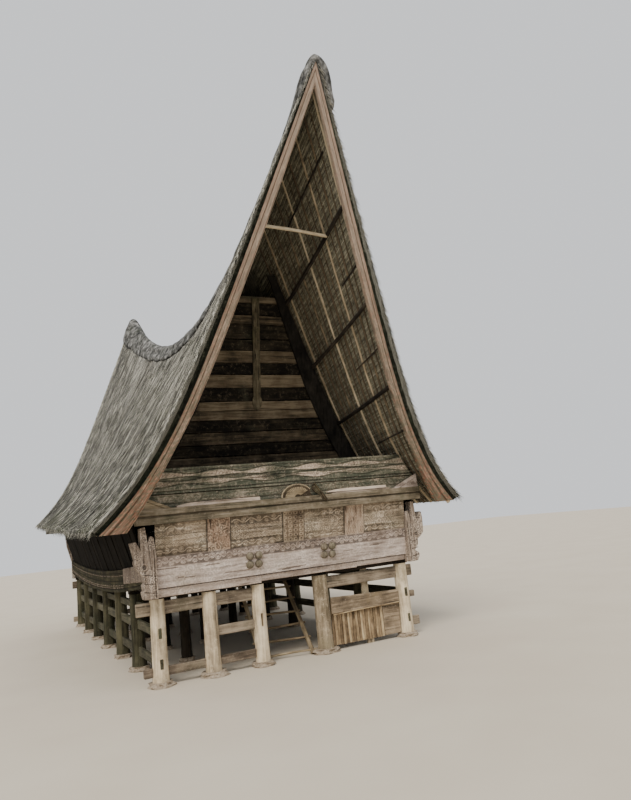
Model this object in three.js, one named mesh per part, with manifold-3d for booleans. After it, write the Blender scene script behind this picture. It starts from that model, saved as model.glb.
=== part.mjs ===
import * as THREE from 'three';
import { mergeVertices } from 'three/addons/utils/BufferGeometryUtils.js';
import Module from 'manifold-3d';

// A batak house on posts, with a saddle roof of thatch that leans out over both gables.
// Millimetres, Z up. While modelling, the front row of posts stands on y = 0 and the front
// faces -Y; the finished group is moved so that the origin is under the middle of the house.

const wasm = await Module();
wasm.setup();

// Clearance between pieces that touch
const FIT = 0.3;

// Posts and their rows
const POST_RADIUS = 155;
const POST_TOP = 1650;
const STONE_HEIGHT = 95;
const ROW_SPACING = 2100;
const ROW_COUNT = 7;
const REAR_ROW = ROW_SPACING * (ROW_COUNT - 1);
const SIDE_X = 2874;
const BAY_X = 1806;
const DOOR_X = 738;
const FLOOR_TOP = 1840;

// Front wall: it leans forward from the lip of the beam up to the ledge
const FRONT_LEAN = 0.19;
const FACE_Y = -200;
const BEAM_BOTTOM = 1680;
const LIP_TOP = 1860;
const BEAM_TOP = 2460;
const LEDGE_BOTTOM = 3100;
const LEDGE_TOP = 3390;
const FRONT_HALF = 2915;
const LEDGE_HALF = 3300;
const LOFT_BOARD_TOP = 4170;

// Side beams, curved like the planks of a boat
const STRAKE_OUTER = 3140;
const STRAKE_INNER = 3050;

// Roof: each lengthwise station is a leaning plane, from the front verge (0) to the rear one (1)
const VERGE_Z = 3000;
const VERGE_Y = [-888, 13100];
const VERGE_LEAN = [-0.339, 0.2];
const SKIN_HALF = [4170, 4260];
const BED_HALF = [4040, 4130];
const EAVE_Z = [3070, 3750];
const EAVE_SKIRT = 90;
const RIDGE_LOW = 9100;
const RIDGE_RISE = [2600, 3320];
const RIDGE_SKIN = 100;
const RAFTER_WIDTH = 56;
const PURLIN_WIDTH = 90;

// Gable wall behind the front boards of the loft
const GABLE_LEAN = 0.205;
const GABLE_Y = 1430;
const GABLE_BOTTOM = 3440;
const GABLE_TOP = 8300;

const lerp = THREE.MathUtils.lerp;

// Geometry with nothing but positions, so that unlike shapes can be merged
function bare(geometry) {
  const loose = geometry.index ? geometry.toNonIndexed() : geometry;
  const plain = new THREE.BufferGeometry();
  plain.setAttribute('position', loose.getAttribute('position').clone());
  return plain;
}

function block(x0, x1, y0, y1, z0, z1) {
  const box = new THREE.BoxGeometry(x1 - x0, y1 - y0, z1 - z0);
  return bare(box.translate((x0 + x1) / 2, (y0 + y1) / 2, (z0 + z1) / 2));
}

function prism(points, depth, basis) {
  const shape = new THREE.Shape(points.map(([u, v]) => new THREE.Vector2(u, v)));
  const body = new THREE.ExtrudeGeometry(shape, { depth, bevelEnabled: false, curveSegments: 8 });
  return bare(body.applyMatrix4(basis));
}

// A profile of y and z, drawn out along x
function alongX(points, x0, x1) {
  const basis = new THREE.Matrix4().makeBasis(
    new THREE.Vector3(0, 1, 0), new THREE.Vector3(0, 0, 1), new THREE.Vector3(1, 0, 0));
  return prism(points, x1 - x0, basis).translate(x0, 0, 0);
}

// An outline of x and z, drawn out along y
function alongY(points, y0, y1) {
  const basis = new THREE.Matrix4().makeBasis(
    new THREE.Vector3(1, 0, 0), new THREE.Vector3(0, 0, 1), new THREE.Vector3(0, -1, 0));
  return prism(points, y1 - y0, basis).translate(0, y1, 0);
}

function ringNormal(ring) {
  const normal = new THREE.Vector3();
  ring.forEach((point, i) => {
    normal.add(new THREE.Vector3().crossVectors(point, ring[(i + 1) % ring.length]));
  });
  return normal;
}

function ringCentre(ring) {
  const centre = new THREE.Vector3();
  ring.forEach((point) => centre.add(point));
  return centre.divideScalar(ring.length);
}

function capTriangles(ring, outward) {
  const across = new THREE.Vector3(Math.abs(outward.y) > Math.abs(outward.x) ? 1 : 0,
    Math.abs(outward.y) > Math.abs(outward.x) ? 0 : 1, 0);
  const up = new THREE.Vector3().crossVectors(outward, across).normalize();
  const side = new THREE.Vector3().crossVectors(up, outward).normalize();
  const flat = ring.map((point) => new THREE.Vector2(point.dot(side), point.dot(up)));
  return THREE.ShapeUtils.triangulateShape(flat, []).map(([a, b, c]) => {
    const ab = new THREE.Vector3().subVectors(ring[b], ring[a]);
    const ac = new THREE.Vector3().subVectors(ring[c], ring[a]);
    const facing = ab.cross(ac).dot(outward) > 0;
    return facing ? [ring[a], ring[b], ring[c]] : [ring[a], ring[c], ring[b]];
  });
}

// A closed body through rings of equal length, whose first and last rings are flat
function loft(rings) {
  const forward = ringCentre(rings[1]).sub(ringCentre(rings[0]));
  const turned = ringNormal(rings[0]).dot(forward) < 0;
  const list = turned ? rings.map((ring) => [...ring].reverse()) : rings;
  const last = list.length - 1;
  const triangles = [];
  for (let i = 0; i < last; i += 1) {
    list[i].forEach((a, j) => {
      const k = (j + 1) % list[i].length;
      const b = list[i][k];
      const c = list[i + 1][k];
      const d = list[i + 1][j];
      triangles.push([a, b, c], [a, c, d]);
    });
  }
  const backward = ringCentre(list[last]).sub(ringCentre(list[last - 1]));
  triangles.push(...capTriangles(list[0], forward.clone().negate()));
  triangles.push(...capTriangles(list[last], backward));
  return new THREE.BufferGeometry().setFromPoints(triangles.flat());
}

function toSolid(geometry) {
  const merged = mergeVertices(bare(geometry), 1e-3);
  return new wasm.Manifold(new wasm.Mesh({
    numProp: 3,
    vertProperties: new Float32Array(merged.getAttribute('position').array),
    triVerts: new Uint32Array(merged.getIndex().array),
  }));
}

// The solid's pieces of more than a few cubic centimetres, without slivers left by a cut
function withoutSlivers(solid) {
  const SMALLEST = 20000;
  const pieces = solid.decompose().filter((piece) => piece.volume() > SMALLEST);
  return pieces.length === 1 ? pieces[0] : wasm.Manifold.compose(pieces);
}

function toGeometry(whole) {
  const solid = withoutSlivers(whole);
  const mesh = solid.getMesh();
  const geometry = new THREE.BufferGeometry();
  geometry.setAttribute('position', new THREE.BufferAttribute(new Float32Array(mesh.vertProperties), 3));
  geometry.setIndex(new THREE.BufferAttribute(new Uint32Array(mesh.triVerts), 1));
  return bare(geometry);
}

function cut(geometry, tools) {
  return toGeometry(tools.reduce((left, tool) => left.subtract(tool), toSolid(geometry)));
}

// Overlapping parts made one body
function join(geometries) {
  return toGeometry(geometries.map(toSolid).reduce((left, right) => left.add(right)));
}

function common(geometry, tool) {
  return toGeometry(toSolid(geometry).intersect(tool));
}

const house = new THREE.Group();

function material(color, roughness) {
  return new THREE.MeshStandardMaterial({ color, roughness, metalness: 0 });
}

const weatheredPost = material('#8f8677', 0.9);
const greyPlank = material('#8b8074', 0.88);
const pinkPlank = material('#97877b', 0.86);
const darkPlank = material('#4a4238', 0.92);
const redBoard = material('#8a5a44', 0.85);
const thatch = material('#6a645c', 0.97);
const bamboo = material('#93795a', 0.7);

function add(name, geometry, look) {
  const mesh = new THREE.Mesh(geometry, look);
  mesh.name = name;
  house.add(mesh);
}

// The same piece on the other side of the middle line
function otherSide(geometry) {
  const flipped = bare(geometry).scale(-1, 1, 1);
  return turnFaces(flipped);
}

// The same piece at the rear of the house, facing +Y
function atRear(geometry) {
  const flipped = bare(geometry).scale(1, -1, 1).translate(0, REAR_ROW, 0);
  return turnFaces(flipped);
}

function turnFaces(geometry) {
  const positions = geometry.getAttribute('position');
  const points = [];
  for (let i = 0; i < positions.count; i += 3) {
    [0, 2, 1].forEach((k) => points.push(new THREE.Vector3().fromBufferAttribute(positions, i + k)));
  }
  return new THREE.BufferGeometry().setFromPoints(points);
}

// Roof surfaces

function stationY(s, z) {
  return lerp(...VERGE_Y, s) + lerp(...VERGE_LEAN, s) * (z - VERGE_Z);
}

function ridgeZ(s) {
  const reach = Math.abs(2 * s - 1);
  return RIDGE_LOW + (s < 0.5 ? RIDGE_RISE[0] * reach ** 1.9 : RIDGE_RISE[1] * reach ** 2.3);
}

function eaveZ(s) {
  return EAVE_Z[0] + (EAVE_Z[1] - EAVE_Z[0]) * Math.max(s, 0) ** 1.35;
}

// Half width and height of the thatch at station s and height share t, eave 0 to ridge 1
function skinAt(s, t) {
  const half = lerp(...SKIN_HALF, s) * (0.832 * (1 - t) + 0.168 * (1 - t) ** 8.8);
  return [half, lerp(eaveZ(s), ridgeZ(s), t)];
}

// The same for the bed that the thatch lies on
function bedAt(s, t) {
  const half = lerp(...BED_HALF, s) * (0.797 * (1 - t) + 0.203 * (1 - t) ** 7.9);
  return [half, lerp(eaveZ(s) - EAVE_SKIRT, ridgeZ(s) - RIDGE_SKIN, t)];
}

// Height share at which the bed, moved in by inset, reaches the middle
function bedTop(s, inset) {
  let low = 0;
  let high = 1;
  for (let i = 0; i < 40; i += 1) {
    const middle = (low + high) / 2;
    if (bedAt(s, middle)[0] > inset) {
      low = middle;
    } else {
      high = middle;
    }
  }
  return low;
}

function pointAt(s, x, z) {
  return new THREE.Vector3(x, stationY(s, z), z);
}

const HEIGHT_SHARES = [0, 0.04, 0.11, 0.2, 0.31, 0.51, 0.725, 1];

const FRONT_RAFTERS = Array.from({ length: 9 }, (_, i) => 0.014 + 0.0225 * i);
const MIDDLE_RAFTERS = Array.from({ length: 4 }, (_, i) => 0.305 + 0.13 * i);
const REAR_RAFTERS = Array.from({ length: 4 }, (_, i) => 0.806 + 0.06 * i);
const RAFTER_STATIONS = [...FRONT_RAFTERS, ...MIDDLE_RAFTERS, ...REAR_RAFTERS];
const STATIONS = [0, ...RAFTER_STATIONS, 1];

// One slope of thatch; grow thickens it all round, so that it can cut a piece that touches it
function thatchSlope(side, grow) {
  const stations = grow > 0 ? [-0.01, ...STATIONS, 1.01] : STATIONS;
  const rings = stations.map((s) => {
    const outer = HEIGHT_SHARES.map((t) => {
      const [half, z] = skinAt(s, t);
      return t < 1 ? pointAt(s, side * (half + grow), z + grow)
        : pointAt(s, side * (FIT / 2 - grow), z + 7 * grow);
    });
    const inner = HEIGHT_SHARES.map((t) => {
      const [half, z] = bedAt(s, t);
      return pointAt(s, side * Math.max(half - grow, FIT / 2 - grow), z - grow);
    });
    return [...outer, ...inner.reverse()];
  });
  return loft(rings);
}

const THATCH_TOOLS = [-1, 1].map((side) => toSolid(thatchSlope(side, FIT)));

// The room under the roof, its sides moved in by inset
function underRoof(inset) {
  const FLOOR = 1500;
  const rings = STATIONS.map((s) => {
    const top = bedTop(s, inset);
    const slope = HEIGHT_SHARES.map((t) => {
      const [half, z] = bedAt(s, t * top);
      return [Math.max(half - inset, 0), z];
    });
    const right = slope.map(([half, z]) => pointAt(s, half, z));
    const left = slope.slice(0, -1).map(([half, z]) => pointAt(s, -half, z)).reverse();
    const wall = slope[0][0];
    return [pointAt(s, -wall, FLOOR), pointAt(s, wall, FLOOR), ...right, ...left];
  });
  return toSolid(loft(rings));
}

// Cap of matted fibre, rounded over the ridge and humped just inside each end
function ridgeCap() {
  const THICKNESS = 95;
  const TOP = 80;
  const HUMP = { height: 150, reach: 0.035 };
  const rings = STATIONS.map((s) => {
    const depth = 450 + 650 * Math.abs(2 * s - 1) ** 3;
    const start = 1 - depth / (ridgeZ(s) - eaveZ(s));
    const fromEnd = Math.min(s / HUMP.reach, (1 - s) / HUMP.reach, 1);
    const hump = HUMP.height * 4 * fromEnd * (1 - fromEnd);
    const shares = [0, 0.3, 0.6, 0.85, 0.96, 1];
    const outer = shares.map((u) => {
      const [half, z] = skinAt(s, lerp(start, 1, u));
      return [half + THICKNESS * Math.sqrt(1 - u ** 5), z + (TOP + hump) * u];
    });
    const inner = shares.map((u) => {
      const [half, z] = skinAt(s, lerp(start, 1, u));
      return [Math.max(half - 20, 0), z - 50 * u];
    });
    const right = outer.map(([half, z]) => pointAt(s, half, z));
    const left = outer.slice(0, -1).map(([half, z]) => pointAt(s, -half, z)).reverse();
    const leftUnder = inner.map(([half, z]) => pointAt(s, -half, z));
    const rightUnder = inner.slice(0, -1).map(([half, z]) => pointAt(s, half, z)).reverse();
    return [...right, ...left, ...leftUnder, ...rightUnder];
  });
  return cut(loft(rings), THATCH_TOOLS);
}

// A round or square stick through a list of points, its flat ends square to the way it runs
function stick(points, width, sides) {
  const radius = width / 2;
  const rings = points.map((point, i) => {
    const before = points[Math.max(i - 1, 0)];
    const after = points[Math.min(i + 1, points.length - 1)];
    const way = new THREE.Vector3().subVectors(after, before).normalize();
    const reference = Math.abs(way.y) > 0.7 ? new THREE.Vector3(0, 0, 1) : new THREE.Vector3(0, 1, 0);
    const across = new THREE.Vector3().crossVectors(way, reference).normalize();
    const up = new THREE.Vector3().crossVectors(across, way);
    return Array.from({ length: sides }, (_, k) => {
      const angle = (2 * Math.PI * k) / sides;
      return point.clone()
        .addScaledVector(across, radius * Math.cos(angle))
        .addScaledVector(up, radius * Math.sin(angle));
    });
  });
  return loft(rings);
}

// Point under the bed, moved square to the slope by depth
function belowBed(s, t, side, depth) {
  const step = 0.004;
  const [half, z] = bedAt(s, t);
  const [halfUp, zUp] = bedAt(s, t + step);
  const run = Math.hypot(halfUp - half, zUp - z);
  const x = half - (depth * (zUp - z)) / run;
  return pointAt(s, side * x, z - (depth * (half - halfUp)) / run);
}

const PURLIN_SHARES = [0.31, 0.51, 0.725];
const PURLIN_ENDS = [0.0056, 0.994];

function purlinStick(side, t, grow) {
  const depth = RAFTER_WIDTH + PURLIN_WIDTH * 0.38;
  const inside = STATIONS.slice(1, -1);
  const line = [PURLIN_ENDS[0], ...inside, PURLIN_ENDS[1]].map((s) => belowBed(s, t, side, depth));
  return stick(line, PURLIN_WIDTH + 2 * grow, 4);
}

// Bamboo rafters of one slope, lashed over the purlins that carry them
function roofFrame(side, grow) {
  const shares = HEIGHT_SHARES.slice(0, -1).concat(0.975);
  const depth = RAFTER_WIDTH / 2 + 1.5;
  const rafters = RAFTER_STATIONS.map((s) => {
    const line = shares.map((t) => belowBed(s, Math.max(t, 0.004), side, depth));
    return stick(line, RAFTER_WIDTH + 2 * grow, 4);
  });
  return join([...rafters, ...PURLIN_SHARES.map((t) => purlinStick(side, t, grow))]);
}

const FRAME_TOOLS = [-1, 1].map((side) => toSolid(roofFrame(side, FIT)));

// Barge board of one verge: its outer edge lies under the thatch, its foot is cut level
function bargeBoard(side, rear) {
  const THICKNESS = 60;
  const SEAT = 2.6;
  const station = rear ? 1 : 0;
  const inward = rear ? -1 : 1;
  const apex = ridgeZ(station) - RIDGE_SKIN;
  const boardWidth = (z) => 150 + 60 * Math.min(1, (apex - z) / 3000)
    + 290 * Math.max(0, 1 - (z - VERGE_Z) / 1600) ** 2;
  const shares = [...HEIGHT_SHARES.slice(0, -1), 0.93, 1];
  const face = (depth) => {
    const edge = shares.map((share) => {
      const height = bedAt(station, share)[1];
      const perStation = VERGE_Y[1] - VERGE_Y[0] + (VERGE_LEAN[1] - VERGE_LEAN[0]) * (height - VERGE_Z);
      return bedAt(station + (inward * depth) / perStation, share);
    });
    const outer = edge.map(([half, z]) => [half - SEAT, z - SEAT]);
    const inner = edge.slice(0, -2).map(([half, z]) => [half - boardWidth(z), z - SEAT]);
    const tip = [0, edge[edge.length - 1][1] - 400];
    return [...outer, tip, ...inner.reverse()].map(([half, z]) => new THREE.Vector3(
      side * Math.max(half, FIT / 2), stationY(station, z) + inward * depth, z));
  };
  return loft([face(0), face(THICKNESS)]);
}

// Posts with their base stones

function post(x, y, top, radius) {
  const SIDES = 10;
  const stone = new THREE.CylinderGeometry(radius * 1.25, radius * 1.4, STONE_HEIGHT, 8);
  const profile = [[0, STONE_HEIGHT - 5], [1.1, STONE_HEIGHT - 5], [1, 400], [0.95, top], [0, top]];
  const shaft = new THREE.LatheGeometry(
    profile.map(([share, z]) => new THREE.Vector2(share * radius, z)), SIDES);
  const upright = shaft.rotateX(Math.PI / 2).translate(x, y, 0);
  return join([upright, stone.rotateX(Math.PI / 2).translate(x, y, STONE_HEIGHT / 2)]);
}

const RAIL_DEPTH = 70;

// A rail of one height along x or along y, through the posts it passes
function crossRail(x0, x1, y, [low, high]) {
  return block(x0, x1, y - RAIL_DEPTH / 2, y + RAIL_DEPTH / 2, low, high);
}

function longRail(x, y0, y1, [low, high]) {
  return block(x - RAIL_DEPTH / 2, x + RAIL_DEPTH / 2, y0, y1, low, high);
}

const TIE = [1345, 1600];
const LOW_RAIL = [190, 360];
const DOOR_POST_RADIUS = 170;

// The rails of the front run through the corner posts and end in tenons beyond them
function frontLeftFrame() {
  return join([
    ...[-SIDE_X, -BAY_X, -DOOR_X].map((x) => post(x, 0, POST_TOP, POST_RADIUS)),
    crossRail(-SIDE_X - 420, -DOOR_X, 0, TIE),
    crossRail(-SIDE_X - 330, -DOOR_X, 0, LOW_RAIL),
    crossRail(-BAY_X, -DOOR_X, 0, [760, 950]),
  ]);
}

function frontRightFrame() {
  return join([
    post(DOOR_X, 0, POST_TOP, DOOR_POST_RADIUS),
    post(SIDE_X, 0, POST_TOP, POST_RADIUS),
    crossRail(DOOR_X, SIDE_X + 300, 0, TIE),
    crossRail(SIDE_X, SIDE_X + 300, 0, [860, 1000]),
    crossRail(SIDE_X, SIDE_X + 360, 0, [220, 420]),
  ]);
}

const SIDE_RAILS = [[330, 520], [900, 1100], [1330, 1490]];

// Side posts of the given rows; their rails butt against posts that belong to other frames
function sideFrame(side, rows, ends) {
  const x = side * SIDE_X;
  const posts = rows.map((row) => post(x, ROW_SPACING * row, POST_TOP, POST_RADIUS));
  const rails = SIDE_RAILS.map((level) => longRail(x, ...ends.map((row) => ROW_SPACING * row), level));
  const seats = ends.filter((row) => !rows.includes(row))
    .map((row) => toSolid(post(x, ROW_SPACING * row, POST_TOP, POST_RADIUS + FIT)));
  return cut(join([...posts, ...rails]), seats);
}

function rearFrame() {
  const places = [-SIDE_X, -BAY_X, -DOOR_X, DOOR_X, BAY_X, SIDE_X];
  return join([
    ...places.map((x) => post(x, REAR_ROW, POST_TOP, POST_RADIUS)),
    crossRail(-SIDE_X - 300, SIDE_X + 300, REAR_ROW, TIE),
    crossRail(-SIDE_X - 300, SIDE_X + 300, REAR_ROW, LOW_RAIL),
  ]);
}

const FLOOR_HALF = STRAKE_INNER - FIT;
const JOIST = { low: POST_TOP + FIT, high: FLOOR_TOP - 45, half: 75 };

// Row of inner posts under a floor beam that runs from side to side
function innerFrame(row) {
  const y = ROW_SPACING * row;
  const places = row === 1 ? [-BAY_X, BAY_X] : [-BAY_X, -DOOR_X, DOOR_X, BAY_X];
  const beam = block(-FLOOR_HALF, FLOOR_HALF, y - JOIST.half, y + JOIST.half, JOIST.low, JOIST.high);
  return join([beam, ...places.map((x) => post(x, y, POST_TOP + 20, POST_RADIUS * 0.8))]);
}

const HATCH = [-800, 660, 680, 1738];

// Floor of boards with the hatch that the ladder leads up through
function floor() {
  const hatch = block(...HATCH, 0, 3000);
  const deck = block(-FLOOR_HALF, FLOOR_HALF, -150, REAR_ROW + 150, FLOOR_TOP - 45 + FIT, FLOOR_TOP);
  const joists = [0, REAR_ROW].map((y) => block(
    -FLOOR_HALF, FLOOR_HALF, y - JOIST.half, y + JOIST.half, JOIST.low, JOIST.high + 5));
  return cut(join([deck, ...joists]), [toSolid(hatch), toSolid(ladder(FIT))]);
}

// Front and rear walls

function faceY(z) {
  return FACE_Y - FRONT_LEAN * (z - BEAM_BOTTOM);
}

// A leaning board of the front: proud of the face by the first depth, behind it by the second
function leaningBoard(x0, x1, z0, z1, proud, behind) {
  return alongX([
    [faceY(z0) - proud, z0],
    [faceY(z0) + behind, z0],
    [faceY(z1) + behind, z1],
    [faceY(z1) - proud, z1],
  ], x0, x1);
}

function beam() {
  const lip = leaningBoard(-FRONT_HALF, FRONT_HALF, BEAM_BOTTOM, LIP_TOP + 5, 0, 44);
  const board = leaningBoard(-FRONT_HALF, FRONT_HALF, LIP_TOP, BEAM_TOP, 32, 74);
  return join([lip, board]);
}

const KNOB = { radius: 84, places: [-870, 870], z: 2175, acrossHalf: 97, upHalf: 87 };

function frontBeam() {
  const knobs = KNOB.places.flatMap((x) => [-1, 1].flatMap((i) => [-1, 1].map((j) => {
    const z = KNOB.z + j * KNOB.upHalf;
    const ball = new THREE.SphereGeometry(KNOB.radius, 8, 6);
    return bare(ball.translate(x + i * KNOB.acrossHalf, faceY(z) - 32, z));
  })));
  const cover = toSolid(leaningBoard(-2000, 2000, LIP_TOP, BEAM_TOP, 400, -30));
  const halves = knobs.map((knob) => common(knob, cover));
  const step = block(-700, FRONT_HALF + 10, -400, 0, BEAM_BOTTOM - 10, BEAM_BOTTOM + 35);
  return cut(join([beam(), ...halves]), [toSolid(step)]);
}

const STRIPS = [-1620, 60, 1560];
const STRIP_HALF = 235;

function panels() {
  return leaningBoard(-FRONT_HALF, FRONT_HALF, BEAM_TOP + FIT, LEDGE_BOTTOM - FIT, 0, 50);
}

function panelStrip(x) {
  return leaningBoard(x - STRIP_HALF, x + STRIP_HALF, BEAM_TOP + FIT, LEDGE_BOTTOM - FIT, 28, -FIT);
}

// Ledge beam with a groove along its face
function ledgeBeam() {
  const front = faceY(LEDGE_BOTTOM) - 140;
  const back = faceY(LEDGE_BOTTOM) + 90;
  const GROOVE = LEDGE_BOTTOM + 150;
  return alongX([
    [front, LEDGE_BOTTOM],
    [back, LEDGE_BOTTOM],
    [back, LEDGE_TOP],
    [front - 20, LEDGE_TOP],
    [front - 20, GROOVE + 24],
    [front + 16, GROOVE + 12],
    [front, GROOVE - 12],
  ], -LEDGE_HALF, LEDGE_HALF);
}

const LEDGE_FRONT = faceY(LEDGE_BOTTOM) - 140;

function ledgeArch() {
  const points = Array.from({ length: 11 }, (_, i) => {
    const angle = Math.PI * (1 - i / 10);
    return [150 + 370 * Math.cos(angle), LEDGE_TOP + FIT + 270 * Math.sin(angle)];
  });
  return alongY(points, LEDGE_FRONT + 10, LEDGE_FRONT + 60);
}

function ledgeEnd(side) {
  const outline = [
    [LEDGE_HALF - 20, LEDGE_TOP + FIT],
    [LEDGE_HALF - 40, LEDGE_TOP + 300],
    [LEDGE_HALF - 720, LEDGE_TOP + FIT],
  ];
  const piece = alongY(outline, LEDGE_FRONT + 10, LEDGE_FRONT + 60);
  return side < 0 ? otherSide(piece) : piece;
}

function ledgePlank(x0, x1) {
  return block(x0, x1, LEDGE_FRONT + 62, LEDGE_FRONT + 136, LEDGE_TOP + FIT, LEDGE_TOP + 80);
}

// Rooms under the rafters: the wide one reaches between them, the clear one stays inside them
const WIDE_ROOM = underRoof(75);
const CLEAR_ROOM = underRoof(140);

// Carved boards that close the loft in front, standing on the loft floor's edge
function loftBoards(place) {
  const raw = leaningBoard(-3300, 3300, LEDGE_TOP + FIT, LOFT_BOARD_TOP, -70, 120);
  return cut(common(place(raw), CLEAR_ROOM), FRAME_TOOLS);
}

function loftFloor() {
  return block(-3370, 3370, faceY(LEDGE_TOP) + 130, GABLE_Y + 60, LEDGE_TOP + FIT, GABLE_BOTTOM - FIT);
}

// Gable wall of planks laid level, every other one a little proud; two beams lie across it
const COURSE_TOPS = [
  3700, 3990, 4270, 4550, 4830, 5110, 5394, 5608, 5815,
  6146, 6447, 6732, 7013, 7286, 7638, 7853, 8146, GABLE_TOP,
];
const BEAM_COURSES = [7, 8];

function gableWall(place) {
  const GAP = 12;
  const points = [];
  const at = (z, out) => [GABLE_Y - GABLE_LEAN * (z - GABLE_BOTTOM) - out, z];
  COURSE_TOPS.forEach((high, i) => {
    const low = i ? COURSE_TOPS[i - 1] : GABLE_BOTTOM;
    const proud = BEAM_COURSES.includes(i) ? 14 : (i % 2) * 12;
    points.push(at(low, proud), at(high - GAP, proud), at(high - GAP, -20), at(high, -20));
  });
  points.push(at(GABLE_TOP, -45), at(GABLE_BOTTOM, -45));
  const raw = place(alongX(points, -3600, 3600));
  const tools = [...FRAME_TOOLS, ...[-1, 1].map((side) => toSolid(sideWall(side, FIT)))];
  return cut(common(raw, WIDE_ROOM), tools);
}

function gablePlank() {
  const outline = [
    [-95, 8240],
    [-95, 5900],
    [-120, 5760],
    [-80, 5640],
    [0, 5590],
    [80, 5640],
    [120, 5760],
    [95, 5900],
    [95, 8240],
  ];
  const plank = alongY(outline, -60, -14 - FIT);
  return leanWithGable(plank);
}

// What stands upright before y = 0 made to lean with the gable wall, before its face
function leanWithGable(geometry) {
  const positions = geometry.getAttribute('position');
  for (let i = 0; i < positions.count; i += 1) {
    const z = positions.getZ(i);
    positions.setY(i, positions.getY(i) + GABLE_Y - GABLE_LEAN * (z - GABLE_BOTTOM));
  }
  return geometry;
}

// Side beams, curved down amidships like the strake of a boat

function strakeLow(y) {
  return 1590 + 300 * ((y - REAR_ROW / 2) / (REAR_ROW / 2)) ** 2;
}

function strakeHigh(y) {
  return 2120 + 210 * ((y - REAR_ROW / 2) / (REAR_ROW / 2)) ** 2;
}

const STRAKE_START = -200 + FIT;
const STRAKE_STOPS = Array.from({ length: 17 }, (_, i) => lerp(STRAKE_START, REAR_ROW - STRAKE_START, i / 16));

function sideBeam(side) {
  const rings = STRAKE_STOPS.map((y) => [
    new THREE.Vector3(side * STRAKE_INNER, y, strakeLow(y)),
    new THREE.Vector3(side * STRAKE_OUTER, y, strakeLow(y)),
    new THREE.Vector3(side * STRAKE_OUTER, y, strakeHigh(y)),
    new THREE.Vector3(side * STRAKE_INNER, y, strakeHigh(y)),
  ]);
  return loft(rings);
}

// Wall of upright boards that leans out from the side beam to the eave
function sideWall(side, grow) {
  const LEAN_OUT = 0.3;
  const TOP = 4000;
  const rings = STRAKE_STOPS.map((y) => {
    const low = strakeHigh(y) + FIT;
    const out = LEAN_OUT * (TOP - low);
    const inner = STRAKE_INNER + 10 - grow;
    const outer = STRAKE_INNER + 55 + grow;
    return [
      new THREE.Vector3(side * inner, y, low),
      new THREE.Vector3(side * outer, y, low),
      new THREE.Vector3(side * (outer + out), y, TOP),
      new THREE.Vector3(side * (inner + out), y, TOP),
    ];
  });
  return common(loft(rings), CLEAR_ROOM);
}

// Corner heads: a horned animal's head on a stepped neck, cut from a thick board
function cornerHead(side) {
  const outline = [
    [2915 + FIT, 1680],
    [3190, 1680],
    [3210, 1850],
    [3190, 2080],
    [3260, 2190],
    [3350, 2380],
    [3330, 2470],
    [3400, 2780],
    [3290, 2810],
    [3215, 2630],
    [3215, 3050],
    [3095, 3075],
    [3080, 2760],
    [3015, 2880],
    [2945, 2850],
    [2915 + FIT, 2500],
  ];
  const piece = alongY(outline, -440, -200 - FIT);
  return side < 0 ? otherSide(piece) : piece;
}

// Ladder that leans on the rear edge of the hatch, its left foot set back behind a post
function ladder(grow) {
  const feet = [new THREE.Vector3(-660, 314, 30), new THREE.Vector3(450, 64, 30)];
  const heads = [-600, 510].map((x) => new THREE.Vector3(x, 1715 + grow, 1812 + grow));
  const rails = feet.map((foot, i) => stick([foot, heads[i]], 85 + 2 * grow, 4));
  const rungs = Array.from({ length: 7 }, (_, i) => {
    const share = 0.032 + 0.1462 * i;
    const [left, right] = feet.map((foot, k) => foot.clone().lerp(heads[k], share));
    const beyond = right.clone().sub(left).setLength(90);
    return stick([left.clone().sub(beyond), right.clone().add(beyond)], 50 + 2 * grow, 5);
  });
  return join([...rails, ...rungs]);
}

const PEN = { left: 932, right: 2698, low: STONE_HEIGHT + FIT, high: 1060 };

function penPlank() {
  return block(PEN.left, PEN.right, -85, -40 - FIT, 780, 1130);
}

function penWall() {
  const PALE = 95;
  const count = Math.floor((PEN.right - PEN.left) / PALE);
  const points = [];
  for (let i = 0; i < count; i += 1) {
    const x = PEN.left + i * PALE;
    const out = i % 2 ? 0 : 10;
    points.push([x, -30 - out], [x + PALE - 8, -30 - out], [x + PALE - 8, -18], [x + PALE, -18]);
  }
  points.push([PEN.left + count * PALE, 0], [PEN.left, 0]);
  return prism(points, PEN.high - PEN.low, new THREE.Matrix4()).translate(0, 0, PEN.low);
}

function plankPost() {
  return block(1820, 1980, RAIL_DEPTH / 2 + FIT, 80, 0, POST_TOP - 1);
}

// Pole from purlin to purlin, high under the leaning gable
function tieBar() {
  const ends = [new THREE.Vector3(-800, -2016, 8925), new THREE.Vector3(800, -2016, 8835)];
  return cut(stick(ends, 75, 6), FRAME_TOOLS);
}

add('front_left_frame', frontLeftFrame(), weatheredPost);
add('front_right_frame', frontRightFrame(), weatheredPost);
add('left_fore_side_frame', sideFrame(-1, [1, 2, 3], [0, 3]), weatheredPost);
add('left_aft_side_frame', sideFrame(-1, [4, 5], [3, 6]), weatheredPost);
add('right_fore_side_frame', sideFrame(1, [1, 2, 3], [0, 3]), weatheredPost);
add('right_aft_side_frame', sideFrame(1, [4, 5], [3, 6]), weatheredPost);
add('rear_frame', rearFrame(), weatheredPost);
for (let row = 1; row < ROW_COUNT - 1; row += 1) {
  add(`inner_frame_${row}`, innerFrame(row), weatheredPost);
}
add('floor', floor(), darkPlank);
add('front_beam', frontBeam(), pinkPlank);
add('rear_beam', atRear(beam()), pinkPlank);
add('left_corner_head', cornerHead(-1), pinkPlank);
add('right_corner_head', cornerHead(1), pinkPlank);
add('left_side_beam', sideBeam(-1), greyPlank);
add('right_side_beam', sideBeam(1), greyPlank);
add('left_side_wall', sideWall(-1, 0), darkPlank);
add('right_side_wall', sideWall(1, 0), darkPlank);
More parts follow.
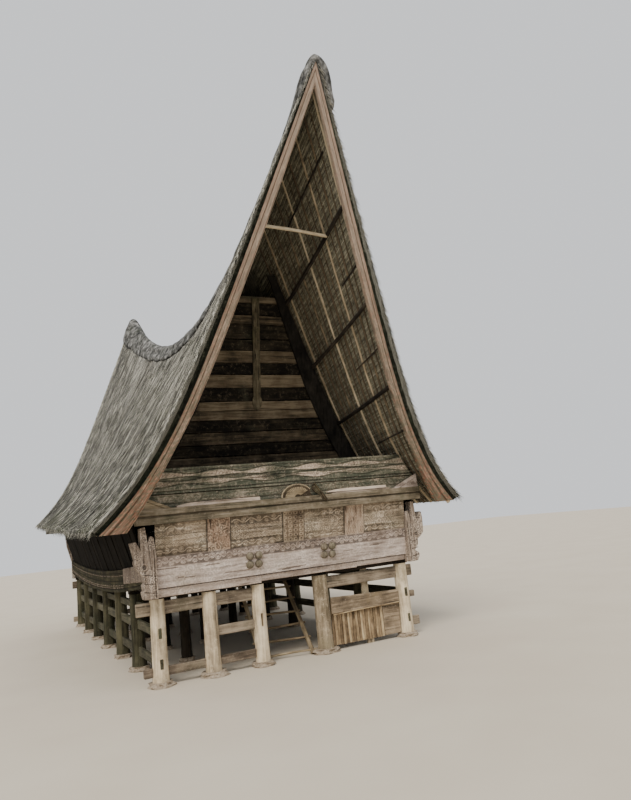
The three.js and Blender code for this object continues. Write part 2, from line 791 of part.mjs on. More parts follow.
add('front_panels', panels(), greyPlank);
['left', 'centre', 'right'].forEach((place, i) => {
  add(`${place}_panel_strip`, panelStrip(STRIPS[i]), pinkPlank);
});
add('rear_panels', atRear(panels()), greyPlank);
add('front_ledge_beam', ledgeBeam(), greyPlank);
add('rear_ledge_beam', atRear(ledgeBeam()), greyPlank);
add('ledge_arch', ledgeArch(), greyPlank);
add('left_ledge_end', ledgeEnd(-1), greyPlank);
add('right_ledge_end', ledgeEnd(1), greyPlank);
add('left_ledge_plank', ledgePlank(-2480, -700), greyPlank);
add('right_ledge_plank', ledgePlank(900, 2500), greyPlank);
add('front_loft_boards', loftBoards(bare), greyPlank);
add('rear_loft_boards', loftBoards(atRear), greyPlank);
add('front_loft_floor', loftFloor(), darkPlank);
add('rear_loft_floor', atRear(loftFloor()), darkPlank);
add('front_gable_wall', gableWall(bare), darkPlank);
add('rear_gable_wall', gableWall(atRear), darkPlank);
add('gable_centre_plank', gablePlank(), greyPlank);
add('left_thatch', thatchSlope(-1, 0), thatch);
add('right_thatch', thatchSlope(1, 0), thatch);
add('ridge_cap', ridgeCap(), thatch);
add('left_roof_frame', roofFrame(-1, 0), bamboo);
add('right_roof_frame', roofFrame(1, 0), bamboo);
add('front_left_barge_board', bargeBoard(-1, false), redBoard);
add('front_right_barge_board', bargeBoard(1, false), redBoard);
add('rear_left_barge_board', bargeBoard(-1, true), redBoard);
add('rear_right_barge_board', bargeBoard(1, true), redBoard);
add('verge_tie_bar', tieBar(), bamboo);
add('ladder', ladder(0), bamboo);
add('pen_plank', penPlank(), greyPlank);
add('pen_wall', penWall(), greyPlank);
add('pen_post', plankPost(), greyPlank);

house.position.set(0, -(stationY(0, ridgeZ(0)) + stationY(1, ridgeZ(1))) / 2, 0);

export default house;
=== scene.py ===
import math

import bpy
import numpy as np
from mathutils import Matrix, Vector, noise


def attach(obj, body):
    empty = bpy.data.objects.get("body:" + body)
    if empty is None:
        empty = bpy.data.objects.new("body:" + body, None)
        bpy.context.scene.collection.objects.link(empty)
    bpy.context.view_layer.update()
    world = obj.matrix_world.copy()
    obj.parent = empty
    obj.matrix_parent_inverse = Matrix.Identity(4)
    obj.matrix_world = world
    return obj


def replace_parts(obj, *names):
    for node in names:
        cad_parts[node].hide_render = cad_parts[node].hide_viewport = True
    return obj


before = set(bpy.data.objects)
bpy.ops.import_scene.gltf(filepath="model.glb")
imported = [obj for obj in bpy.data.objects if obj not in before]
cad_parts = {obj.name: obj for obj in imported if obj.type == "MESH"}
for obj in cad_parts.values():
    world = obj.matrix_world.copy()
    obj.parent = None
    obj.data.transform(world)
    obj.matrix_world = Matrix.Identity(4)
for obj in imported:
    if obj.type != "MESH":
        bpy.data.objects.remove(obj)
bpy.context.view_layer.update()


# View, light and ground: the house is seen from its left front, from eye height, with the
# camera tipped up at the gable. The light is that of a bright overcast day.

EYE = (-5.81, -19.301, 2.836)
YAW, PITCH, ROLL = 26.804, 10.317, -6.128
LENS, SENSOR = 29.73, 36
SKY_STRENGTH, SUN_STRENGTH, SUN_SPREAD = 1.05, 2.7, 28
SUN_TURN = (38, -24, -12)
GROUND_WIDTH = 160

yaw, pitch, roll = (math.radians(angle) for angle in (YAW, PITCH, ROLL))
forward = Vector((math.sin(yaw) * math.cos(pitch), math.cos(yaw) * math.cos(pitch), math.sin(pitch)))
level = Vector((math.cos(yaw), -math.sin(yaw), 0))
upright = level.cross(forward)
to_right = level * math.cos(roll) + upright * math.sin(roll)
to_top = upright * math.cos(roll) - level * math.sin(roll)
placed = Matrix((to_right, to_top, -forward)).transposed().to_4x4()
placed.translation = EYE

bpy.ops.object.select_all(action="DESELECT")
bpy.ops.object.camera_add()
camera = bpy.context.object
camera.matrix_world = placed
camera.data.sensor_width = SENSOR
camera.data.lens = LENS
bpy.context.scene.camera = camera


def linear(hex_colour):
    """An sRGB colour such as 8c7a60 as the linear colour that a shader takes."""
    shares = [int(hex_colour[i:i + 2], 16) / 255 for i in (0, 2, 4)]
    return (*[c / 12.92 if c < 0.04045 else ((c + 0.055) / 1.055) ** 2.4 for c in shares], 1)


def fill(tree, made, inputs):
    """Gives a node its inputs: a number or colour is set, a socket or a node's own output is linked.

    That output is the first one, or the colour where a node mixes two colours.
    """
    for socket, value in inputs.items():
        if isinstance(value, bpy.types.Node):
            value = value.outputs[2 if value.bl_idname == "ShaderNodeMix" else 0]
        if isinstance(value, bpy.types.NodeSocket):
            tree.links.new(value, made.inputs[socket])
        else:
            made.inputs[socket].default_value = value


def node(tree, kind, inputs=None, stops=None, **settings):
    """Adds a shader node with its settings, its inputs and a ramp's colour stops."""
    made = tree.nodes.new("ShaderNode" + kind)
    for name, value in settings.items():
        setattr(made, name, value)
    fill(tree, made, inputs or {})
    for i, (place, colour) in enumerate(stops or ()):
        ramp = made.color_ramp.elements
        stop = ramp[i] if i < len(ramp) else ramp.new(place)
        stop.position = place
        stop.color = linear(colour)
    return made


def new_material(name):
    """An empty material with its node tree and its surface shader, joined to the output."""
    material = bpy.data.materials.new(name)
    material.use_nodes = True
    tree = material.node_tree
    tree.nodes.clear()
    surface = node(tree, "BsdfPrincipled", {"IOR": 1.5, "Specular IOR Level": 0.2})
    node(tree, "OutputMaterial", {"Surface": surface.outputs["BSDF"]})
    return material, tree, surface


world = bpy.data.worlds.new("overcast_sky")
world.use_nodes = True
sky = world.node_tree.nodes["Background"]
sky.inputs["Color"].default_value = linear("f0f2f5")
sky.inputs["Strength"].default_value = SKY_STRENGTH
bpy.context.scene.world = world

bpy.ops.object.light_add(type="SUN", rotation=[math.radians(angle) for angle in SUN_TURN])
sun = bpy.context.object
sun.data.energy = SUN_STRENGTH
sun.data.angle = math.radians(SUN_SPREAD)
sun.data.color = linear("fff8ee")[:3]

pale_earth, tree, surface = new_material("swept_pale_earth")
spot = node(tree, "TexCoord").outputs["Object"]
patches = node(tree, "TexNoise", {"Vector": spot, "Scale": 0.6, "Detail": 5})
tint = node(tree, "ValToRGB", {"Fac": patches}, [(0.3, "cbc0ae"), (0.7, "d0c6b4")])
fill(tree, surface, {"Base Color": tint, "Roughness": 0.95})

bpy.ops.mesh.primitive_plane_add(size=GROUND_WIDTH)
ground = bpy.context.object
ground.name = "ground"
ground.data.materials.append(pale_earth)


# Posts: trunks of hard wood, hewn round and left bare, greyed by sun and rain. Each stands on a
# flat field stone. Squared rails run through them and end in tenons beyond the corners, and one
# post has an empty mortise, where a rail is gone.

FRONT_ROW = -5.57335
POST_RADIUS = 0.155
POST_TOP = 1.65
ROW_SPACING = 2.1
LAST_ROW = 6
HOUSE_LENGTH = ROW_SPACING * LAST_ROW
SIDE_X, BAY_X, DOOR_X = 2.874, 1.806, 0.738
RAIL = 0.07
SIDES = ((-1, "left"), (1, "right"))


def only(*objects):
    """Selects these objects and nothing else."""
    bpy.ops.object.select_all(action="DESELECT")
    for item in objects:
        item.select_set(True)
    bpy.context.view_layer.objects.active = objects[0]


def points_of(mesh):
    """The places of a mesh's vertices, one row for each."""
    places = np.empty(len(mesh.vertices) * 3)
    mesh.vertices.foreach_get("co", places)
    return places.reshape(-1, 3)


def set_points(mesh, places):
    """Moves a mesh's vertices to these places."""
    mesh.vertices.foreach_set("co", places.ravel())
    mesh.update()


def note(mesh, name, values):
    """Keeps a number for each vertex, for the material to read."""
    layer = mesh.attributes.get(name) or mesh.attributes.new(name, "FLOAT", "POINT")
    layer.data.foreach_set("value", np.broadcast_to(values, len(mesh.vertices)).astype(np.float32))


def build(name, parts, *materials):
    """Makes the parts one piece and moves it from the front row's frame to that of the house."""
    only(*parts)
    if len(parts) > 1:
        bpy.ops.object.join()
    bpy.ops.object.transform_apply()
    piece = bpy.context.object
    piece.data.transform(Matrix.Translation((0, FRONT_ROW, 0)))
    piece.name = name
    piece.data.name = name
    piece.data.materials.clear()
    for material in materials:
        piece.data.materials.append(material)
    return piece


def edit_whole(piece, action, **settings):
    """Does one edit to the whole mesh of a piece."""
    only(piece)
    bpy.ops.object.mode_set(mode="EDIT")
    bpy.ops.mesh.select_all(action="SELECT")
    action(**settings)
    bpy.ops.object.mode_set(mode="OBJECT")


def tone_of(seed):
    """A shade for each piece, from 0 to 1, unlike its neighbour's."""
    return (seed * 0.618) % 1


def cut_across(piece, axis, cuts):
    """Divides the edges that run along one axis, so that a board can be uneven along its length."""
    mesh = piece.data
    bpy.ops.object.mode_set(mode="EDIT")
    bpy.ops.mesh.select_mode(type="EDGE")
    bpy.ops.mesh.select_all(action="DESELECT")
    bpy.ops.object.mode_set(mode="OBJECT")
    longest = max(piece.dimensions)
    for edge in mesh.edges:
        run = mesh.vertices[edge.vertices[1]].co - mesh.vertices[edge.vertices[0]].co
        edge.select = abs(run[axis]) > 0.6 * longest
    bpy.ops.object.mode_set(mode="EDIT")
    bpy.ops.mesh.subdivide(number_cuts=cuts)
    bpy.ops.object.mode_set(mode="OBJECT")


def board(low, high, seed, bevel=0.008, rough=0.003, pace=0.3, tone=None):
    """A hewn board or rail: a block with worn edges, cut across and made a little uneven."""
    size = [high[i] - low[i] for i in range(3)]
    bpy.ops.mesh.primitive_cube_add(size=1, location=[(high[i] + low[i]) / 2 for i in range(3)])
    piece = bpy.context.object
    piece.scale = size
    bpy.ops.object.transform_apply()
    axis = size.index(max(size))
    cut_across(piece, axis, max(1, int(size[axis] / pace)))
    edit_whole(piece, bpy.ops.transform.vertex_random, offset=rough, seed=seed, wait_for_input=False)
    worn = piece.modifiers.new("worn edges", "BEVEL")
    worn.width = min(bevel, min(size) / 3)
    worn.segments = 1
    worn.limit_method = "ANGLE"
    bpy.ops.object.modifier_apply(modifier=worn.name)
    note(piece.data, "tone", tone_of(seed) if tone is None else tone)
    return piece


def trunk(x, y, top, radius, seed):
    """A round post: a cylinder cut into drums, flared at its foot and left with flats and hollows."""
    bpy.ops.mesh.primitive_cylinder_add(vertices=22, radius=radius, depth=top - 0.09,
                                        location=(x, y, top / 2 + 0.045))
    post = bpy.context.object
    bpy.ops.object.transform_apply()
    cut_across(post, 2, 13)
    places = points_of(post.data)
    for i, place in enumerate(places):
        foot = max(0, 1 - place[2] / 0.5)
        swell = 1 + 0.12 * foot ** 2 - 0.05 * place[2] / top
        turn = math.atan2(place[1] - y, place[0] - x)
        flat = noise.noise(Vector((math.cos(turn) * 1.2, math.sin(turn) * 1.2, place[2] * 1.3 + seed * 7)))
        dent = noise.noise(Vector((turn * 2.5, place[2] * 5, seed * 3.3)))
        places[i, :2] = (x, y) + (place[:2] - (x, y)) * (swell + 0.05 * flat + 0.02 * dent)
    set_points(post.data, places)
    bpy.ops.object.shade_smooth_by_angle(angle=math.radians(50))
    note(post.data, "tone", tone_of(seed))
    return post


def mortised(post, width, low, high):
    """Cuts an empty mortise into the front of a post, where a rail is gone."""
    x, y = points_of(post.data)[:, :2].mean(axis=0)
    bpy.ops.mesh.primitive_cube_add(size=1, location=(x, y - 0.14, (low + high) / 2))
    bit = bpy.context.object
    bit.scale = (width, 0.2, high - low)
    bpy.ops.object.transform_apply()
    tone = post.data.attributes["tone"].data[0].value
    only(post)
    mortise = post.modifiers.new("mortise", "BOOLEAN")
    mortise.object = bit
    bpy.ops.object.modifier_apply(modifier=mortise.name)
    bpy.data.objects.remove(bit)
    note(post.data, "tone", tone)
    return post


def base_stone(x, y, radius, seed, spread=(1, 1)):
    """A field stone with a flat top and a worn, lumpy edge."""
    bpy.ops.mesh.primitive_ico_sphere_add(subdivisions=3, radius=1)
    stone = bpy.context.object
    places = points_of(stone.data)
    for i, place in enumerate(places):
        lump = 1 + 0.3 * noise.noise(Vector(place) * 1.9 + Vector((seed * 5.1, seed, 0)))
        flat = np.clip(place[2] * 1.9, -1, 1)
        side = 1.36 + 0.2 * (1 - flat) / 2
        reach = math.hypot(place[0], place[1]) or 1
        grow = radius * side * lump * min(1, reach * 1.25) / reach
        z = 0.0475 + 0.0475 * flat + 0.004 * (lump - 1)
        places[i] = (x + place[0] * grow * spread[0], y + place[1] * grow * spread[1], z)
    places[:, 2] = np.clip(places[:, 2], 0, 0.1)
    set_points(stone.data, places)
    bpy.ops.object.shade_smooth_by_angle(angle=math.radians(24))
    note(stone.data, "tone", (seed * 0.377) % 1)
    return stone


def weathered_wood(name, shades, grain, streaks=14, patch=None, patches=(0.55, 0.7), carved=None, bump=0.5,
                   chased=None, cracked=1.0, shine=0.2):
    """Bare old wood: dark cracks and pale worn fibre along the grain, and patches of other colour.

    Carved wood is darker in its cuts. Chased wood is covered with small worn curls besides, of a
    scale and a strength. Shine is low where wood lies in deep shade, rough and dry.
    """
    material, tree, surface = new_material(name)
    spot = node(tree, "TexCoord").outputs["Object"]
    stretched = [1.1 if axis == grain else streaks for axis in "XYZ"]
    laid = node(tree, "Mapping", {"Vector": spot, "Scale": stretched})
    fibre = node(tree, "TexNoise", {"Vector": laid, "Scale": 1.0, "Detail": 9, "Roughness": 0.68,
                                    "Distortion": 0.5})
    weather = node(tree, "TexNoise", {"Vector": spot, "Scale": 2.3, "Detail": 6, "Roughness": 0.6})
    tone = node(tree, "Attribute", attribute_name="tone")
    shift = node(tree, "Math", {0: tone.outputs["Fac"], 1: 0.16, 2: -0.08}, operation="MULTIPLY_ADD")
    worn = node(tree, "Math", {0: weather, 1: 0.5, 2: shift}, operation="MULTIPLY_ADD")
    level = node(tree, "Math", {0: fibre, 1: 0.62, 2: worn}, operation="MULTIPLY_ADD")
    places = (0.34, 0.47, 0.58, 0.72)
    colour = node(tree, "ValToRGB", {"Fac": level}, list(zip(places, shades)))
    if patch:
        spread = node(tree, "TexNoise", {"Vector": spot, "Scale": 1.3, "Detail": 7, "Roughness": 0.7})
        where = node(tree, "MapRange", {"Value": spread, "From Min": patches[0], "From Max": patches[1],
                                        "To Max": 0.75})
        colour = node(tree, "Mix", {0: where, 6: colour, 7: linear(patch)}, data_type="RGBA")
    drawn_out = [0.7 if axis == grain else streaks * 1.3 for axis in "XYZ"]
    split = node(tree, "Mapping", {"Vector": spot, "Scale": drawn_out})
    cracks = node(tree, "TexNoise", {"Vector": split, "Scale": 1.0, "Detail": 5, "Roughness": 0.6})
    open_cracks = node(tree, "MapRange", {"Value": cracks, "From Min": 0.33, "From Max": 0.44,
                                          "To Min": 0.3})
    gaping = node(tree, "Mix", {0: cracked, 6: colour, 7: open_cracks}, data_type="RGBA",
                  blend_type="MULTIPLY")
    scurf = node(tree, "TexNoise", {"Vector": spot, "Scale": 13.0, "Detail": 7, "Roughness": 0.78})
    pale = node(tree, "MapRange", {"Value": scurf, "From Min": 0.54, "From Max": 0.68, "To Max": 0.5})
    colour = node(tree, "Mix", {0: pale, 6: gaping, 7: linear(shades[3])}, data_type="RGBA")
    height = fibre
    if chased:
        scale, strength = chased
        drift = node(tree, "TexNoise", {"Vector": spot, "Scale": scale * 0.6, "Detail": 2})
        drifted = node(tree, "VectorMath", {0: drift.outputs["Color"], 1: (0.09, 0.09, 0.09), 2: spot},
                       operation="MULTIPLY_ADD")
        cells = node(tree, "TexVoronoi", {"Vector": drifted, "Scale": scale})
        turn = node(tree, "Math", {0: cells, 1: 15.0}, operation="MULTIPLY")
        curl = node(tree, "Math", {0: turn}, operation="SINE")
        kept = node(tree, "MapRange", {"Value": weather, "From Min": 0.38, "From Max": 0.6,
                                       "To Max": strength})
        cut_in = node(tree, "MapRange", {"Value": curl, "From Min": -0.5, "From Max": 0.4, "To Min": 0.25,
                                         "To Max": 1.12})
        colour = node(tree, "Mix", {0: kept, 6: colour, 7: cut_in}, data_type="RGBA", blend_type="MULTIPLY")
        height = node(tree, "Math", {0: curl, 1: 0.4, 2: height}, operation="MULTIPLY_ADD")
    if carved:
        relief = node(tree, "Attribute", attribute_name="relief").outputs["Fac"]
        cut = node(tree, "ValToRGB", {"Fac": relief}, carved)
        colour = node(tree, "Mix", {0: 0.8, 6: colour, 7: cut}, data_type="RGBA", blend_type="MULTIPLY")
    relief_of_grain = node(tree, "Bump", {"Height": height, "Strength": bump, "Distance": 0.012})
    dry = node(tree, "MapRange", {"Value": fibre, "To Min": 0.75, "To Max": 0.97})
    fill(tree, surface, {"Base Color": colour, "Roughness": dry, "Normal": relief_of_grain,
                         "Specular IOR Level": shine})
    return material


# Sun-bleached hardwood shows silver fibre between grey-brown cracks, and damp stains near the foot
post_wood = weathered_wood("sun_bleached_hewn_hardwood", ("6a5e4b", "9a8b74", "c2b194", "e8d9bc"), "Z", 13,
                           "8b8067", (0.53, 0.68), bump=0.4, cracked=0.4)
rail_wood = weathered_wood("weathered_split_hardwood_rail", ("352d24", "63574a", "877a68", "a89a86"), "X",
                           18, "585342", (0.52, 0.68))
long_rail_wood = weathered_wood("mossy_split_hardwood_rail", ("1d1c15", "393629", "504c3c", "68634f"), "Y",
                                18, "3a3e2a", (0.5, 0.66))
# Side and rear posts: mossy, and painted darker than their wood as the shade on the house's flanks
side_post_wood_painted_shade = weathered_wood("mossy_hewn_hardwood_painted_shade", ("191811", "322f22", "484534", "615c47"), "Z", 16,
                                "323526", (0.5, 0.66))
# Inner posts and floor beams: smoke stain, and painted shade of the dark space under the house
inner_wood_painted_shade = weathered_wood("smoke_stained_hardwood_painted_shade", ("0b0907", "191510", "2a241c", "40382d"), "Z", 14)

# Field stone: pale, dusty and grainy, with darker pits
field_stone, tree, surface = new_material("pale_field_stone")
spot = node(tree, "TexCoord").outputs["Object"]
pits = node(tree, "TexNoise", {"Vector": spot, "Scale": 22.0, "Detail": 8, "Roughness": 0.7})
dust = node(tree, "ValToRGB", {"Fac": pits}, [(0.3, "6f6252"), (0.5, "9b8d7b"), (0.75, "bfb3a2")])
rough = node(tree, "Bump", {"Height": pits, "Strength": 0.6, "Distance": 0.01})
fill(tree, surface, {"Base Color": dust, "Normal": rough, "Roughness": 0.93})


def cross_rail(x0, x1, y, low, high, seed):
    """A rail from side to side."""
    return board((x0, y - RAIL / 2, low), (x1, y + RAIL / 2, high), seed, 0.012, 0.006)


def long_rail(x, y0, y1, low, high, seed):
    """A rail from front to back."""
    return board((x - RAIL / 2, y0, low), (x + RAIL / 2, y1, high), seed, 0.012, 0.006, 0.5)


def stand(name, parts, material, slot, *nodes):
    """Builds a piece and sets it in the house, in place of the solids that it stands for."""
    piece = build(name, parts, material)
    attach(piece, "root")
    if nodes:
        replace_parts(piece, *nodes)
    return piece


TIE, LOW_RAIL = (1.345, 1.6), (0.19, 0.36)
TENON = 0.3
posts = [trunk(-SIDE_X, 0, POST_TOP, POST_RADIUS, 1), trunk(-BAY_X, 0, POST_TOP, POST_RADIUS, 2),
         mortised(trunk(-DOOR_X, 0, POST_TOP, 0.15, 3), 0.045, 0.80, 1.06)]
stand("front_left_posts", posts, post_wood, "weathered_post", "front_left_frame")
rails = [cross_rail(-SIDE_X - 0.42, -DOOR_X, 0, *TIE, 4),
         cross_rail(-SIDE_X - 0.33, -DOOR_X, 0, *LOW_RAIL, 5),
         cross_rail(-BAY_X, -DOOR_X, 0, 0.76, 0.95, 6)]
stand("front_left_rails", rails, rail_wood, "weathered_post", "front_left_frame")
door_post = trunk(DOOR_X, 0, POST_TOP, 0.17, 7)
note(door_post.data, "tone", -0.3)
posts = [door_post, trunk(SIDE_X, 0, POST_TOP, POST_RADIUS, 8)]
stand("front_right_posts", posts, post_wood, "weathered_post", "front_right_frame")
rails = [cross_rail(DOOR_X, SIDE_X + TENON, 0, *TIE, 9),
         cross_rail(SIDE_X, SIDE_X + TENON, 0, 0.86, 1.0, 10),
         cross_rail(SIDE_X, SIDE_X + 0.36, 0, 0.22, 0.42, 11)]
stand("front_right_rails", rails, rail_wood, "weathered_post", "front_right_frame")

SIDE_RAILS = ((0.33, 0.52), (0.9, 1.1), (1.33, 1.49))
for side, place in SIDES:
    for part, rows, ends in (("fore", (1, 2, 3), (0, 3)), ("aft", (4, 5), (3, 6))):
        frame_name = f"{place}_{part}_side_frame"
        posts = [trunk(side * SIDE_X, ROW_SPACING * row, POST_TOP, POST_RADIUS, row + 20 * side)
                 for row in rows]
        stand(f"{place}_{part}_side_posts", posts, side_post_wood_painted_shade, "weathered_post", frame_name)
        start, stop = (ROW_SPACING * row for row in ends)
        tenons = [POST_RADIUS + 0.006 if row == 0 else 0 for row in (ends[0], ends[0], 1)]
        rails = [long_rail(side * SIDE_X, start - tenon, stop, *heights, i + 40 * side)
                 for i, (tenon, heights) in enumerate(zip(tenons, SIDE_RAILS))]
        stand(f"{place}_{part}_side_rails", rails, long_rail_wood, "weathered_post", frame_name)

ROW_PLACES = (-SIDE_X, -BAY_X, -DOOR_X, DOOR_X, BAY_X, SIDE_X)
posts = [trunk(x, HOUSE_LENGTH, POST_TOP, POST_RADIUS, 50 + i) for i, x in enumerate(ROW_PLACES)]
stand("rear_posts", posts, side_post_wood_painted_shade, "weathered_post", "rear_frame")
rails = [cross_rail(-SIDE_X - TENON, SIDE_X + TENON, HOUSE_LENGTH, *heights, 57 + i)
         for i, heights in enumerate((TIE, LOW_RAIL))]
stand("rear_rails", rails, rail_wood, "weathered_post", "rear_frame")

# Inner posts are thinner, and carry a floor beam from side to side; the first row has but two
INNER_ROWS = {row: ROW_PLACES[1:5] if row > 1 else (-BAY_X, BAY_X) for row in range(1, LAST_ROW)}
for row, inner in INNER_ROWS.items():
    y = ROW_SPACING * row
    parts = [trunk(x, y, POST_TOP + 0.02, POST_RADIUS * 0.8, row * 3 + i) for i, x in enumerate(inner)]
    parts.append(board((-3.04, y - 0.075, 1.6503), (3.04, y + 0.075, 1.795), row))
    stand(f"inner_posts_{row}", parts, inner_wood_painted_shade, "weathered_post", f"inner_frame_{row}")

stones = [base_stone(-SIDE_X, 0, 0.165, 1, (1.0, 0.95)), base_stone(-BAY_X, 0, 0.175, 2, (1.05, 1)),
          base_stone(-DOOR_X, 0, 0.16, 3), base_stone(DOOR_X, 0, 0.175, 4, (1.1, 1)),
          base_stone(SIDE_X, 0, 0.16, 5)]
stones += [base_stone(side * SIDE_X, ROW_SPACING * row, 0.15, row + 9 * side) for side in (-1, 1)
           for row in INNER_ROWS]
stones += [base_stone(x, HOUSE_LENGTH, 0.15, 30 + i) for i, x in enumerate(ROW_PLACES)]
stones += [base_stone(x, ROW_SPACING * row, 0.12, 40 + row * 3 + i) for row, inner in INNER_ROWS.items()
           for i, x in enumerate(inner)]
stand("base_stones", stones, field_stone, "weathered_post")


# Floor, ladder and pen: smoke-dark floor planks on the joists, their near black partly painted shade
# under the house, a ladder of peeled poles leaning in the hatch, and a pen closed by split bamboo and
# one broad upright board, behind a level plank.

def dress(material, *nodes):
    """Gives solids of the frame a finish."""
    for name in nodes:
        for slot in bpy.data.objects[name].material_slots:
            slot.material = material


# Floor planks: smoke stain, with painted shade of the space under the house
floor_wood_painted_shade = weathered_wood("smoke_darkened_floor_plank_painted_shade", ("0f0c09", "211b15", "342b22", "4b4033"), "Y", 14)
dress(floor_wood_painted_shade, "floor", "front_loft_floor", "rear_loft_floor")


def pole(points, thick, thin, seed, crook=0.012, sides=12, cuts=12, nodes_every=None, flat=1.0):
    """A round pole through the points, tapering and a little crooked; bamboo swells at its nodes."""
    points = np.array([tuple(point) for point in points], float)
    legs = np.linalg.norm(np.diff(points, axis=0), axis=1)
    marks = np.concatenate([[0], np.cumsum(legs)])
    run = marks[-1]
    bpy.ops.mesh.primitive_cylinder_add(vertices=sides, radius=1, depth=run)
    stick = bpy.context.object
    cut_across(stick, 2, cuts)
    places = points_of(stick.data)
    along = np.clip(places[:, 2] + run / 2, 0, run)
    radius = thick + (thin - thick) * along / run
    if nodes_every:
        from_node = np.abs((along / nodes_every + seed * 0.37) % 1 - 0.5) * nodes_every
        radius = radius * (1 + 0.14 * np.clip(1 - from_node / 0.03, 0, 1))
    places[:, 0] *= radius
    places[:, 1] *= radius * flat
    note(stick.data, "tone", tone_of(seed))
    grain = stick.data.attributes.new("grain", "FLOAT_VECTOR", "POINT")
    shifted = places + (seed * 1.7, seed * 0.9, seed * 3.1)
    grain.data.foreach_set("vector", shifted.astype(np.float32).ravel())
    for i in (0, 1):
        sway = [noise.noise(Vector((value * 0.9, seed * 2.3, i * 9.0))) for value in along]
        places[:, i] += np.array(sway) * crook * run * np.sin(np.pi * along / run)
    centre = np.stack([np.interp(along, marks, points[:, i]) for i in range(3)], -1)
    nearby = []
    for step in (-run * 0.04, run * 0.04):
        beside = np.clip(along + step, 0, run)
        nearby.append(np.stack([np.interp(beside, marks, points[:, i]) for i in range(3)], -1))
    way = nearby[1] - nearby[0]
    way /= np.linalg.norm(way, axis=1, keepdims=True)
    across = np.cross(way, (0, 0, 1) if abs(way[0, 1]) > 0.9 else (0, 1, 0))
    across /= np.linalg.norm(across, axis=1, keepdims=True)
    over = np.cross(way, across)
    set_points(stick.data, centre + across * places[:, :1] + over * places[:, 1:2])
    only(stick)
    bpy.ops.object.shade_smooth_by_angle(angle=math.radians(50))
    return stick


def peeled_pole(name, shades, streaks=40, patch=None, patches=(0.55, 0.7)):
    """Finish of a round pole, whose fibre follows its own length wherever it points."""
    material, tree, surface = new_material(name)
    spot = node(tree, "Attribute", attribute_name="grain").outputs["Vector"]
    laid = node(tree, "Mapping", {"Vector": spot, "Scale": (streaks, streaks, 2.2)})
    fibre = node(tree, "TexNoise", {"Vector": laid, "Scale": 1.0, "Detail": 8, "Roughness": 0.66})
    blotch = node(tree, "TexNoise", {"Vector": spot, "Scale": 3.1, "Detail": 6, "Roughness": 0.65})
    tone = node(tree, "Attribute", attribute_name="tone").outputs["Fac"]
    shift = node(tree, "Math", {0: tone, 1: 0.18, 2: -0.09}, operation="MULTIPLY_ADD")
    worn = node(tree, "Math", {0: blotch, 1: 0.5, 2: shift}, operation="MULTIPLY_ADD")
    level = node(tree, "Math", {0: fibre, 1: 0.55, 2: worn}, operation="MULTIPLY_ADD")
    colour = node(tree, "ValToRGB", {"Fac": level}, list(zip((0.34, 0.46, 0.57, 0.7), shades)))
    if patch:
        where = node(tree, "MapRange", {"Value": blotch, "From Min": patches[0], "From Max": patches[1],
                                        "To Max": 0.7})
        colour = node(tree, "Mix", {0: where, 6: colour, 7: linear(patch)}, data_type="RGBA")
    fine = node(tree, "Bump", {"Height": fibre, "Strength": 0.4, "Distance": 0.006})
    fill(tree, surface, {"Base Color": colour, "Normal": fine, "Roughness": 0.85})
    return material


# Peeled poles: dull brown where hands and feet have worn them, greenish grey elsewhere
worn_pole = peeled_pole("worn_peeled_pole", ("33291e", "5f523f", "85765d", "a7987c"))
RUNGS, FIRST_RUNG, RUNG_STEP = 7, 0.032, 0.1462
feet = Vector((-0.66, 0.314, 0.03)), Vector((0.45, 0.064, 0.03))
heads = Vector((-0.60, 1.715, 1.812)), Vector((0.51, 1.715, 1.812))
parts = [pole([foot, head], 0.05, 0.043, i + 3, 0.006) for i, (foot, head) in enumerate(zip(feet, heads))]
for i in range(RUNGS):
    left, right = [foot.lerp(head, FIRST_RUNG + RUNG_STEP * i) for foot, head in zip(feet, heads)]
    beyond = (right - left).normalized() * 0.09
    beyond.z += 0.012 * (-1) ** i
    parts.append(pole([left - beyond, right + beyond], 0.027, 0.023, i + 11))
stand("peeled_pole_ladder", parts, worn_pole, "bamboo", "ladder")

# Split bamboo, grey-brown with a hard skin, darker between the pales; the boards by it are bleached
pale_bamboo = peeled_pole("weathered_split_bamboo", ("372c1c", "685742", "968164", "c2af8c"), 30, "5c533a",
                          (0.6, 0.75))
PEN_LEFT, PEN_BOARD, PEN_RIGHT, PALE = 0.932, 2.257, 2.698, 0.066
PALE_FACE = -0.008
parts = []
for i in range(int((PEN_BOARD - PEN_LEFT) / PALE)):
    x = PEN_LEFT + (i + 0.5) * PALE
    wander = noise.noise(Vector((i * 1.7, 3.1, 0)))
    foot, head = 0.10 + 0.03 * abs(wander), 1.05 + 0.03 * wander
    ends = [(x, PALE_FACE, foot), (x + 0.006 * wander, PALE_FACE, head)]
    parts.append(pole(ends, PALE * 0.5, PALE * 0.46, i + 31, 0.004, 10, 8, 0.34, 0.55))
stand("split_bamboo_pen_wall", parts, pale_bamboo, "bamboo", "pen_wall")

pen_wood = weathered_wood("bleached_pen_plank", ("41362a", "706250", "97866f", "b5a48d"), "X", 20, "7e6e53")
upright = board((PEN_BOARD + 0.006, -0.028, 0.11), (PEN_RIGHT, 0.010, 1.04), 12, 0.008, 0.005, 0.18)
stand("pen_end_board", [upright], pen_wood, "grey_plank", "pen_wall")

plank = board((PEN_LEFT, -0.085, 0.78), (PEN_RIGHT, -0.0403, 1.13), 5, 0.012, 0.004, 0.25)
places = points_of(plank.data)
slope = np.interp(places[:, 0], (PEN_LEFT, PEN_RIGHT), (1.0, 0.0))
places[:, 2] += np.where(places[:, 2] > 0.95, slope * 0.06 - 0.055, 0)
set_points(plank.data, places)
lath = pole([(PEN_LEFT + 0.02, -0.105, 0.765), (PEN_RIGHT - 0.03, -0.105, 0.80)], 0.014, 0.011, 8)
stand("pen_plank_board", [plank], pen_wood, "grey_plank", "pen_plank")
stand("pen_lath", [lath], pale_bamboo, "bamboo")
dress(post_wood, "pen_post")
